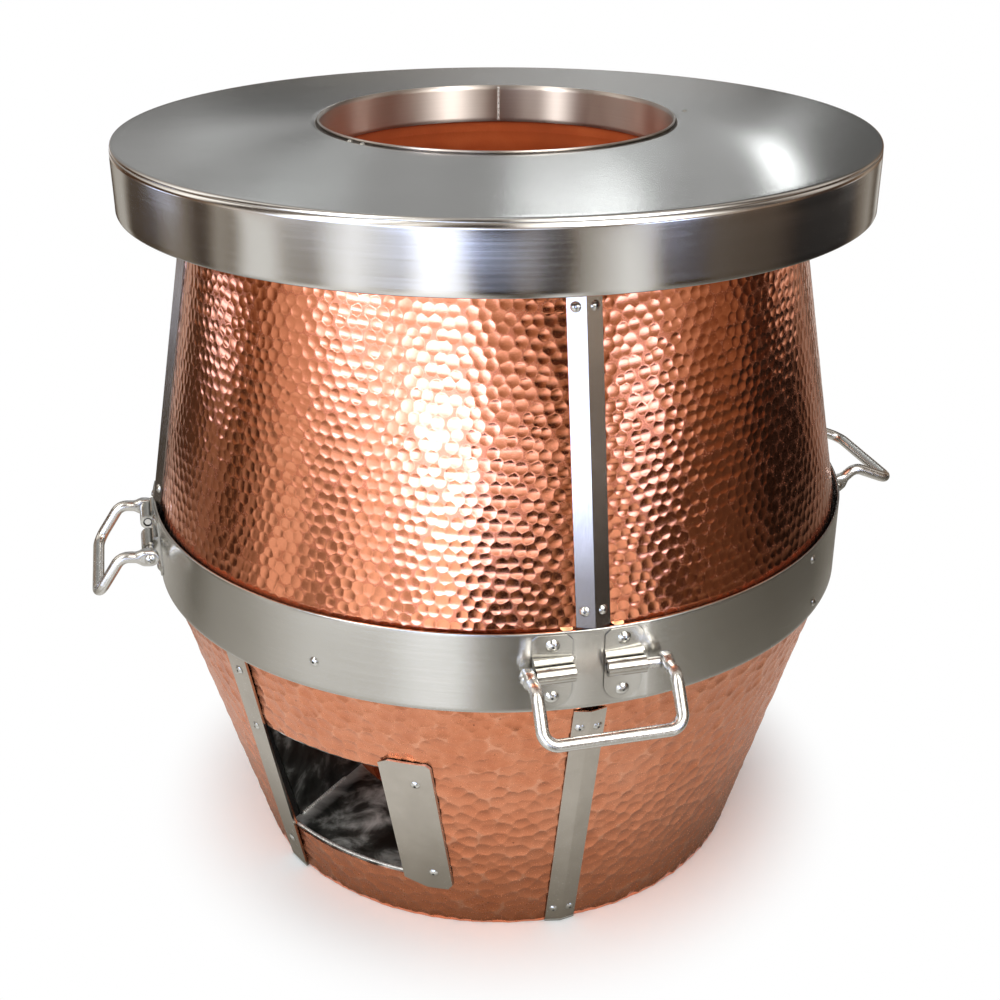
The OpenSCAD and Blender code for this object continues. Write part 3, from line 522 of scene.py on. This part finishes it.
def hammered_sheet(name, outer, normal, dent, inner_rows, hole=None):
    """Closed piece of sheet from the grid of its outer points: a plain inner face on a few of its
    rows, and faces along its edges and round the hole, given as (first row, last row, first
    column, last column). The outer face keeps the exact normals of the blows."""
    rows, columns = outer.shape[:2]
    inward = outer[inner_rows].copy()
    length = np.hypot(inward[..., 0], inward[..., 1])[..., None]
    inward[..., :2] *= (length - sheet) / length
    quads = np.array(grid_faces(rows, columns))
    back_quads = np.array(grid_faces(len(inner_rows), columns))[:, ::-1] + rows * columns
    back = {row: rows * columns + place * columns for place, row in enumerate(inner_rows)}

    def strip(row, first, last, flip):
        """Quads from the outer face to the inner one along a row, from column to column."""
        j = np.arange(first, last)
        band = np.stack([row * columns + j + 1, row * columns + j, back[row] + j,
                         back[row] + j + 1], -1)
        return (band[:, ::-1] if flip else band).tolist()

    def side(column, first, last, flip):
        """One face that closes a column from its first row to its last."""
        inner = [row for row in inner_rows if first <= row <= last]
        edge = [row * columns + column for row in range(first, last + 1)][::-1] + [
            back[row] + column for row in inner]
        return [edge[::-1] if flip else edge]

    edges = strip(0, 0, columns - 1, False) + strip(rows - 1, 0, columns - 1, True)
    edges += side(0, 0, rows - 1, False) + side(columns - 1, 0, rows - 1, True)
    if hole:
        low, high, left, right = hole
        row, column = quads[:, 0] // columns, quads[:, 0] % columns
        quads = quads[~((row >= low) & (row < high) & (column >= left) & (column < right))]
        start = back_quads[:, -1] - rows * columns
        row, column = start // columns, start % columns
        cut = (row == inner_rows.index(low)) & (column >= left) & (column < right)
        back_quads = back_quads[~cut]
        edges += strip(low, left, right, True) + strip(high, left, right, False)
        edges += side(left, low, high, True) + side(right, low, high, False)
    thing = make_mesh(name, np.concatenate([outer.reshape(-1, 3), inward.reshape(-1, 3)]),
                      quads.tolist() + back_quads.tolist() + edges)
    mesh = thing.data
    smooth = np.arange(len(mesh.polygons)) < len(quads)
    mesh.polygons.foreach_set("use_smooth", smooth)
    corners = np.zeros((len(mesh.loops), 3), np.float32)
    corners[:4 * len(quads)] = normal.reshape(-1, 3)[quads.ravel()]
    mesh.normals_split_custom_set(corners.tolist())
    share = np.zeros(len(mesh.vertices), np.float32)
    share[:dent.size] = dent.ravel()
    mesh.attributes.new("dent", "FLOAT", "POINT").data.foreach_set("value", share)
    return thing


def lower_radius(z):
    """Radius of the lower casing at height z: a cone, then upright inside the band."""
    return np.where(z < flare_z, foot_r + z * lower_lean, hem_r)


def cut_turn(x, z):
    """Azimuth at which the casing at height z lies x beside the middle of the opening."""
    return door_turn + np.arcsin(x / lower_radius(z))


# the opening's edges lie on rows and columns of the grid of points
cut_low, cut_top = 0.0679, 0.2301
low_row, top_row, last_row, left_column, right_column = 45, 150, 220, 107, 220
z = np.concatenate([np.linspace(0, cut_low, low_row, endpoint=False),
                    np.linspace(cut_low, cut_top, top_row - low_row, endpoint=False),
                    np.linspace(cut_top, flare_z, last_row - top_row), [flare_z + hem]])[:, None]
seam, quarter_turn = half_gap / lower_radius(z), math.pi / 2
left_edge, right_edge = cut_turn(cut_left, z), cut_turn(cut_right, z)
lower_pieces = []
for name, middle, stretch, hole in (
        ("lower_shell_left_front", -1,
         [(-quarter_turn + 0 * z, left_edge, left_column),
          (left_edge, right_edge, right_column - left_column), (right_edge, -seam, 104)],
         (low_row, top_row, left_column, right_column)),
        ("lower_shell_left_rear", -1, [(-2 * quarter_turn + seam, -quarter_turn + 0 * z, 170)], None),
        ("lower_shell_right_front", 1, [(seam, quarter_turn + 0 * z, 324)], None),
        ("lower_shell_right_rear", 1, [(quarter_turn + 0 * z, 2 * quarter_turn - seam, 170)], None)):
    turn = np.concatenate([a + (b - a) * np.linspace(0, 1, k, endpoint=False) for a, b, k in stretch]
                          + [stretch[-1][1]], 1)
    wall = hammered_cone(lower_radius(z) + 0 * turn, z + 0 * turn, turn, lower_lean,
                         middle * quarter_turn, np.clip((flare_z - z) / 0.004, 0, 1),
                         (*facet_blows, 5 + middle))
    inner_rows = [0, *([low_row, top_row] if hole else []), last_row - 1, last_row]
    lower_pieces.append(hammered_sheet(name + "_hammered", *wall, inner_rows, hole))

n = Nodes("satin_copper")
dent = n("Attribute", attribute_name="dent").outputs["Fac"]
fine = n.noise(260.0, 6.0, 0.7)
speck = n("TexVoronoi", {"Vector": n.place(), "Scale": 42.0}).outputs[0]
patch = n.maths("MULTIPLY_ADD", n.noise(38.0, 5.0, 0.65), 0.8, n.maths("MULTIPLY", dent, 0.16))
copper = n.ramp(patch, (0.36, (0.90, 0.36, 0.20)), (0.52, (0.82, 0.30, 0.155)),
                (0.78, (0.66, 0.21, 0.10)))
copper = n.mix(n.ramp(n.noise(7.0, 6.0, 0.6), (0.35, 0.0), (0.7, 0.35)), copper,
               (0.92, 0.45, 0.30))
copper = n.mix(n.ramp(n.maths("MULTIPLY", n.place(2), 3.0), (0.1, 0.55), (0.7, 0.0)), copper,
               (0.86, 0.29, 0.14))
copper = n.mix(n.ramp(dent, (0.0, 0.45), (0.16, 0.0)), copper, (0.98, 0.50, 0.33))
copper = n.mix(n.ramp(speck, (0.02, 0.85), (0.05, 0.0)), copper, (0.10, 0.03, 0.015))
satin_copper = n.surface(copper, n.ramp(fine, (0.3, 0.20), (0.7, 0.31)), 1.0,
                         Normal=n.bump(fine, 0.10, 0.001))

for piece, node in zip(lower_pieces, ("lower_shell_left",) * 2 + ("lower_shell_right",) * 2):
    dress(piece, "root", "copper_satin", satin_copper, node)


# Upper casing: four bright copper panels, each blow of a round-faced hammer leaving its own
# small bowl; their feet stand upright inside the waist band, and their tops end under the plate.
neck_r, rim_z, cone_z, under_plate = 0.2979, 0.7809, 0.401, 0.0022
upper_lean = (waist_r - neck_r) / (rim_z - cone_z)
plate_r, mouth_r, roll_r, plate_rise = 0.380, 0.177, 0.004, 0.0082
plate_run = plate_r - roll_r - mouth_r
dimple_blows = ((0.0116, 0.0107), 0.0061, 0.00029, 0.000025, 0.20)


def plate_z(r):
    """Height of the top plate at radius r: it rises straight from its rolled edge to the mouth."""
    return rim_z + (plate_r - roll_r - r) * plate_rise / plate_run


def upper_panel(name, first, last, middle, rows, columns, seed):
    """Half of one panel between two azimuths, unrolled about the panel's own middle: upright
    inside the band, drawn in near the band's rim, then the hammered cone."""
    top_z = plate_z(neck_r) - under_plate
    z = np.concatenate([[hem_z - hem, hem_z], np.linspace(cone_z, top_z, rows)])[:, None]
    r = np.where(z < hem_z + 0.001, hem_r, waist_r - (z - cone_z) * upper_lean)
    share = np.linspace(0, 1, columns)
    turn = first + (last - first) * share + half_gap / r * (
        (1 - share) * (first != middle) - share * (last != middle))
    wall = hammered_cone(r + 0 * turn, z + 0 * turn, turn, -upper_lean, middle,
                         1.0 * (z > hem_z + 0.001), (*dimple_blows, seed))
    return hammered_sheet(name, *wall, [0, 1, 2, rows + 1])


n = Nodes("bright_copper")
dent = n("Attribute", attribute_name="dent").outputs["Fac"]
fine = n.noise(300.0, 5.0, 0.6)
speck = n("TexVoronoi", {"Vector": n.place(), "Scale": 55.0}).outputs[0]
copper = n.ramp(n.noise(5.0, 6.0, 0.6), (0.3, (0.90, 0.325, 0.175)), (0.7, (0.95, 0.375, 0.21)))
copper = n.mix(n.ramp(dent, (0.0, 0.55), (0.14, 0.0)), copper, (0.50, 0.13, 0.055))
copper = n.mix(n.ramp(speck, (0.015, 0.7), (0.035, 0.0)), copper, (0.12, 0.03, 0.015))
# painted shade: the copper goes near-black just above the band's rim, in the gap between copper and
# band
copper = n.mix(n.fade(n.place(2), 0.4035, 0.4085, 1.0, 0.0), copper, (0.05, 0.02, 0.012))
polish = n.maths("ADD", n.ramp(fine, (0.3, 0.08), (0.7, 0.14)),
                 n.ramp(dent, (0.02, 0.15), (0.25, 0.0)))
bright_copper = n.surface(copper, polish, 1.0, Normal=n.bump(fine, 0.05, 0.0006))
for place, (side, middle) in enumerate((("front_right", 45), ("rear_right", 135),
                                        ("rear_left", -135), ("front_left", -45))):
    size = (340, 276) if "front" in side else (210, 170)
    for half, (first, last) in (("a", (middle - 45, middle)), ("b", (middle, middle + 45))):
        panel = upper_panel("upper_panel_%s_hammered_%s" % (side, half), math.radians(first),
                            math.radians(last), math.radians(middle), *size, 20 + place)
        dress(panel, "root", "copper_polished", bright_copper, "upper_panel_" + side)


# Waist band: a strip of satin stainless sheet rolled round the joint of both casings, lapped at
# the front beside the right hinge clip, its edges dressed with a file.
band_r, band_low, band_high = 0.374, waist_z, 0.407
lap_turn, lap_step, lap_fade = math.radians(7.0), 0.0007, 9.0


def turned(name, profile, steps, sway=None):
    """Ring turned from a closed profile of (radius, height) points, given from inside over the
    top to the outside and back. sway(turn, r, z) may move the points. Its map runs round the
    ring in u and along the profile in v."""
    turn = np.linspace(0, 2 * math.pi, steps, endpoint=False)[::-1]
    r, z = np.array(profile, float).T
    r, z, turn = np.broadcast_arrays(r[:, None], z[:, None], turn[None, :])
    if sway:
        r, z = sway(turn, r, z)
    ring = make_mesh(name, round_wall(r, z, turn),
                     grid_faces(*r.shape, wrap_rows=True, wrap_columns=True))
    along = np.concatenate([[0], np.cumsum(np.hypot(*np.diff(np.array(profile), axis=0).T))])
    corner = np.zeros(len(ring.data.loops), int)
    ring.data.loops.foreach_get("vertex_index", corner)
    first = np.repeat(np.arange(len(ring.data.polygons)) % steps, 4)
    column = np.where((corner % steps == 0) & (first == steps - 1), steps, corner % steps)
    layer = ring.data.uv_layers.new(name="round")
    layer.data.foreach_set("uv", np.stack([column / steps, along[corner // steps]], -1)
                           .astype(np.float32).ravel())
    return ring


def band_sway(turn, r, z):
    """The sheet waves slightly, and its outer end laps over the inner one at the front: it stands
    out there by the lap's step and eases in over the lap's fade, in degrees."""
    lap = np.degrees(np.mod(turn - lap_turn, 2 * math.pi))
    step = lap_step * np.clip(1 - lap / lap_fade, 0, 1)
    wave = 0.00012 * np.sin(5 * turn + 1.0) + 0.00008 * np.sin(13 * turn)
    return r + np.where(r > band_in_r + 0.0004, step + wave, 0), z


# how far the file has taken the edges: across the sheet's thickness, off the corner, down the face
filed_in, filed_off, filed_down = 0.0006, 0.0002, 0.0007
band_profile = [
    (band_in_r, band_low), (band_in_r, band_high), (band_in_r + 0.0003, band_high),
    (band_r - filed_in, band_high), (band_r - filed_off, band_high - filed_off),
    (band_r, band_high - filed_down),
    *[(band_r, h) for h in np.linspace(band_high - 0.004, band_low + 0.004, 8)],
    (band_r, band_low + filed_down), (band_r - filed_off, band_low + filed_off),
    (band_r - filed_in, band_low)]


def painted_corner_shade(n, colour, dark, reach=0.004):
    """Painted shade: darkens a colour towards a dark one in the corners beside other pieces, as far
    as the reach.
    """
    open_share = n("AmbientOcclusion", {"Distance": reach}, samples=6).outputs["AO"]
    return n.mix(n.ramp(open_share, (0.35, 0.85), (0.92, 0.0)), colour, dark)


def brushed_steel(name, colour, dark, rough, depth, anisotropy, lines, smudge=5.0, corners=0.0):
    """Stainless sheet with lines of brushing along u of its map: the lines shade its roughness
    and bump, a slow cloud its colour, and the highlight spreads across the lines."""
    n = Nodes(name)
    map_place = n("Mapping", {"Vector": n("UVMap", uv_map="round").outputs[0],
                              "Scale": (6.0, lines, 1)}).outputs[0]
    brush = n.noise(1.0, 4.0, 0.65, place=map_place)
    tone = n.ramp(n.noise(smudge, 5.0, 0.6), (0.3, dark), (0.65, colour))
    tone = n.mix(0.35, tone, n.ramp(brush, (0.3, dark), (0.7, colour)))
    # painted shade in the corners beside other pieces, over the given reach
    if corners:
        tone = painted_corner_shade(n, tone, (0.10, 0.09, 0.08), corners)
    return n.surface(tone, n.maths("MULTIPLY_ADD", brush, 0.10, rough - 0.05), 1.0, **{
        "Anisotropic": anisotropy, "Anisotropic Rotation": 0.25,
        "Tangent": n("Tangent", direction_type="UV_MAP", uv_map="round").outputs[0],
        "Normal": n.bump(brush, depth, 0.0004)})


band_steel = brushed_steel("band_steel", (0.70, 0.69, 0.655), (0.59, 0.58, 0.545), 0.22, 0.18, 0.5,
                           500.0, corners=0.004)
dress(turned("waist_band_sheet", band_profile, 480, band_sway), "root", "band_steel",
      band_steel, "waist_band")


# Top plate: heavy stainless sheet, brushed round the mouth and dished slightly up to it, with a
# rolled edge into a polished upright skirt that is hemmed inwards at its foot.
collar_r, plate_sheet, skirt_low, hem_wide, hem_cut = 0.1783, 0.002, 0.7162, 0.006, 0.0004


def quarter(x, z, r, a, b, steps=8):
    """Points of an arc about (x, z) from angle a to angle b in degrees."""
    return [(x + r * math.cos(t), z + r * math.sin(t)) for t in np.radians(np.linspace(a, b, steps))]


def plate_sway(turn, r, z):
    """Sheet metal is never quite flat: a few slow waves round the plate."""
    wave = (np.sin(2 * turn + 0.6) + 0.6 * np.sin(5 * turn + 2.0 + 9 * r)) * 0.00025
    return r, z + wave * np.sin(np.clip((r - mouth_r) / plate_run, 0, 1) * math.pi)


def skirt_sway(turn, r, z):
    """The skirt waves in and out a little more the further it hangs below its rolled edge."""
    wave = 0.00020 * np.sin(7 * turn + 0.4) + 0.00010 * np.sin(17 * turn + z * 60)
    return r + wave * np.clip((rim_z - roll_r - z) / 0.01, 0, 1), z


plate_line = [(r, plate_z(r)) for r in np.linspace(collar_r, plate_r - roll_r, 26)[:-1]]
roll_line = quarter(plate_r - roll_r, rim_z - roll_r, roll_r, 90, 0)
under_roll = quarter(plate_r - roll_r, rim_z - roll_r, roll_r - plate_sheet, 0, 90, 4)
plate_steel = brushed_steel("plate_steel", (0.80, 0.80, 0.79), (0.64, 0.64, 0.63), 0.17, 0.12,
                            0.6, 1100.0, smudge=3.5)
plate_line += roll_line + under_roll + [(collar_r, plate_z(collar_r) - plate_sheet)]
dress(turned("top_plate_sheet", plate_line, 480, plate_sway), "root", "plate_steel", plate_steel,
      "top_plate")
skirt_line = [
    (plate_r - plate_sheet, rim_z - roll_r),
    *[(plate_r, h) for h in np.linspace(rim_z - roll_r, skirt_low + 0.001, 12)],
    (plate_r - hem_cut, skirt_low), (plate_r - hem_wide, skirt_low),
    (plate_r - hem_wide, skirt_low + plate_sheet), (plate_r - plate_sheet, skirt_low + plate_sheet)]
skirt_steel = brushed_steel("skirt_steel", (0.74, 0.73, 0.71), (0.68, 0.67, 0.65), 0.15, 0.05,
                            0.3, 260.0)
dress(turned("top_skirt_sheet", skirt_line, 480, skirt_sway), "root", "plate_steel", skirt_steel,
      "top_skirt")


# Mouth collar: a strip of stainless rolled into a ring, butt welded at the back, its top edge
# beaded over the plate.
collar_deep, collar_sheet, collar_bead, bead_gap = 0.0374, 0.0012, 0.0011, 0.00005
collar_low = plate_z(mouth_r) - collar_deep
bead_z = plate_z(mouth_r) + collar_bead + bead_gap
collar_line = [*[(mouth_r, h) for h in np.linspace(collar_low, bead_z, 10)],
               *quarter(mouth_r + collar_bead, bead_z, collar_bead, 180, -60, 10),
               (mouth_r + collar_sheet, bead_z - collar_sheet), (mouth_r + collar_sheet, collar_low)]
collar_steel = brushed_steel("collar_steel", (0.78, 0.71, 0.66), (0.66, 0.59, 0.54), 0.34, 0.05,
                             1.0, 500.0)
dress(turned("mouth_collar_sheet", collar_line, 360), "root", "collar_steel", collar_steel,
      "mouth_collar")

# the collar's butt weld at the back, dressed to a low ridge
seam_turn, seam_width, seam_height, seam_sunk = math.radians(165.6), 0.0014, 0.0007, 0.0002
seam_side = np.radians(np.arange(0, 360, 45))[None, :]
seam_z = np.linspace(collar_low + 0.001, bead_z - 0.001, 30)[:, None]
seam_swell = 1 + 0.15 * np.sin(seam_z * 1500)
collar_seam = make_mesh("collar_seam_weld", round_wall(
    mouth_r + seam_sunk + seam_height * seam_swell * np.cos(seam_side), seam_z,
    seam_turn + seam_width * seam_swell * np.sin(seam_side) / mouth_r)[:, ::-1], tube_faces(30, 8))
dress(collar_seam, "root", "collar_steel", weld_steel)


# Seam strips, door strip and door plate: stainless sheet, satin from handling, riveted over the
# joints of the copper.
n = Nodes("strip_steel")
drawn = n.noise(1.0, 3.0, place=n("Mapping", {"Vector": n.place(), "Scale": (600, 600, 7)})
                .outputs[0])
steel = n.ramp(n.noise(12.0, 6.0, 0.6), (0.3, (0.50, 0.465, 0.41)), (0.7, (0.64, 0.60, 0.54)))
# painted shade: the strips are darkened between 0.34 and 0.53 m up, most from 0.38 to 0.45, and in
# their corners beside other pieces
painted_shade_band = n.ramp(n.place(2), (0.34, 0.0), (0.38, 0.75), (0.45, 0.75), (0.53, 0.0))
steel = n.mix(painted_shade_band, steel, (0.17, 0.145, 0.125))
strip_steel = n.surface(
    painted_corner_shade(n, steel, (0.08, 0.07, 0.06)), n.maths("MULTIPLY_ADD", drawn, 0.12, 0.18), 1.0,
    Normal=n.bump(drawn, 0.08, 0.0004))
sides = ("front", "right", "rear", "left")
finish_node(strip_steel, *["upper_strip_" + side for side in sides],
            "lower_strip_front", "lower_strip_rear", "door_strip", "door_plate")


# Hinge clips and the tabs on the band's rim: pressed stainless sheet, polished; each clip is
# rolled into a barrel for its pin and riveted to the waist band.
def polished_steel(name, scale, detail, roughness, colours, dark, reach, shine):
    """Polished metal whose colour and roughness follow one cloud, each between two stops, with
    painted shade towards the dark colour in corners within the reach.
    """
    n = Nodes(name)
    wear = n.noise(scale, detail, roughness)
    tone = painted_corner_shade(n, n.ramp(wear, (0.3, colours[0]), (0.7, colours[1])), dark, reach)
    return n.surface(tone, n.ramp(wear, (0.3, shine[0]), (0.7, shine[1])), 1.0)


clip_steel = polished_steel("clip_steel", 30.0, 5.0, 0.6, ((0.55, 0.54, 0.50), (0.68, 0.665, 0.62)),
                            (0.06, 0.055, 0.05), 0.004, (0.18, 0.27))
finish_node(clip_steel, "rim_tabs",
            *["clip_%s_%s" % (side, end) for side in sides for end in ("left", "right")])


# Handles: stainless rod bent twice on each side, its ends flattened into eyes, polished; pins of
# the same rod. Each rides its own hinge and is made as it lies at rest.
hinge_out, hinge_up, eye_x = 0.009, 0.0449, 0.064
hinge_r, hinge_z = band_r + hinge_out, band_low + hinge_up
leg_in, leg_out, kink_turn, bend_r = 0.029, 0.048, math.radians(63), 0.014
rod_r, eye_r, eye_half, eye_tip, flat_start, flat_end = 0.006, 0.009, 0.0055, 0.0004, 0.014, 0.024


def bent_line(corners, bend, steps):
    """Points along straight stretches through the corners, each inner corner rounded by an arc
    of the bend radius: the arc runs from one stretch to the next about the point inside them."""
    corners = [np.array(corner, float) for corner in corners]
    line = [corners[0]]
    for before, corner, after in zip(corners, corners[1:], corners[2:]):
        back, ahead = before - corner, after - corner
        back, ahead = back / np.linalg.norm(back), ahead / np.linalg.norm(ahead)
        half = math.acos(float(np.clip(back @ ahead, -1, 1))) / 2
        centre = corner + (back + ahead) / np.linalg.norm(back + ahead) * bend / math.sin(half)
        start = corner + back * bend / math.tan(half) - centre
        for angle in np.linspace(0, math.pi - 2 * half, steps):
            line.append(centre + start * math.cos(angle) - back * bend * math.sin(angle))
    line.append(corners[-1])
    return np.array(line)


def handle(side, turn, lift):
    """Rod swept along its bent line. Its section is a superellipse: round along the rod, and
    broad and flat at the eyes, whose ends are rounded about the pin. The line is drawn flat, then
    lifted about the hinge and turned to its side of the oven."""
    lean = math.atan2(leg_out * math.sin(kink_turn), leg_in + leg_out * math.cos(kink_turn))
    knee = leg_in * np.array((math.cos(lean), math.sin(lean)))
    reach = leg_in * math.cos(lean) + leg_out * math.cos(lean - kink_turn)
    end = -eye_r * np.array((math.cos(lean), math.sin(lean)))
    one = [(*end, eye_x), (*knee, eye_x), (reach, 0, eye_x)]
    line = bent_line(one + [(x, y, -z) for x, y, z in one[::-1]], bend_r, 12)
    gone = np.concatenate([[0], np.cumsum(np.linalg.norm(np.diff(line, axis=0), axis=1))])
    near_end = np.concatenate([eye_r * (1 - np.cos(np.linspace(0, math.pi / 2, 12))),
                               np.linspace(eye_r + 0.001, flat_end + 0.002, 14)])
    places = np.unique(np.concatenate([near_end, gone[1:-1], gone[-1] - near_end]))
    line = np.stack([np.interp(places, gone, line[:, k]) for k in range(3)], -1)
    ahead = np.gradient(line, places, axis=0)
    ahead /= np.linalg.norm(ahead, axis=1)[:, None]
    # one cross direction stays square to the line's turns: across the arms, then across the bar
    arm = np.array((0.0, 0.0, 1.0)) * np.where(line[:, 2:] > 0, 1, -1)
    bar_up = np.array((-math.sin(lean - kink_turn), math.cos(lean - kink_turn), 0.0))
    up = np.cross(arm, ahead)
    on_bar = np.abs(line[:, 2:]) < eye_x - 0.00001
    up = np.where(on_bar, bar_up, up)
    up /= np.linalg.norm(up, axis=1)[:, None]
    across = np.cross(ahead, up)
    from_end = np.minimum(places, gone[-1] - places)[:, None]
    flat = np.clip((flat_end - from_end) / (flat_end - flat_start), 0, 1)
    flat = flat * flat * (3 - 2 * flat)
    eye = np.sqrt(np.clip(eye_r ** 2 - (eye_r - from_end) ** 2, 0, None))
    broad = np.where(from_end < eye_r, np.maximum(eye, eye_tip), rod_r + (eye_r - rod_r) * flat)
    thick = rod_r - (rod_r - eye_half) * flat
    round_share = 1 - 0.55 * flat
    angle = np.radians(np.arange(0, 360, 11.25))[None, :]
    wide, deep = np.cos(angle), np.sin(angle)
    wide = broad * np.sign(wide) * np.abs(wide) ** round_share
    deep = thick * np.sign(deep) * np.abs(deep) ** round_share
    points = line[:, None] + wide[..., None] * up[:, None] + deep[..., None] * across[:, None]
    out = hinge_r + points[..., 0] * math.cos(lift) - points[..., 1] * math.sin(lift)
    z = hinge_z + points[..., 0] * math.sin(lift) + points[..., 1] * math.cos(lift)
    right = -points[..., 2]
    placed = np.stack([right * math.cos(turn) + out * math.sin(turn),
                       right * math.sin(turn) - out * math.cos(turn), z], -1)
    return make_mesh("bail_%s_bent_rod" % side, placed, tube_faces(*placed.shape[:2]))


polished_rod = polished_steel(
    "polished_rod", 70.0, 6.0, 0.65, ((0.68, 0.67, 0.64), (0.80, 0.79, 0.76)),
    (0.08, 0.07, 0.06), 0.004, (0.20, 0.30))
for side, turn, lift in (("front", 0, -33), ("right", 90, 0), ("rear", 180, -33),
                         ("left", -90, -33)):
    dress(handle(side, math.radians(turn), math.radians(lift)), "handle_" + side, "rod_steel",
          polished_rod, "bail_" + side)
finish_node(polished_rod, *["pins_" + side for side in sides])


# Rivets and screws: bright domed heads. Rivets hold the clips, the strips, the door pieces and
# the waist band; small screws sit in the top plate beside the mouth and in the ends of the pins.
bright_head = polished_steel(
    "bright_head", 160.0, 4.0, 0.5, ((0.66, 0.66, 0.63), (0.82, 0.82, 0.79)),
    (0.03, 0.03, 0.03), 0.003, (0.16, 0.26))
finish_node(bright_head, "clip_rivets", "upper_strip_rivets", "lower_strip_rivets", "door_rivets",
            "band_rivets", "top_screws", *["pin_screws_" + side for side in sides])
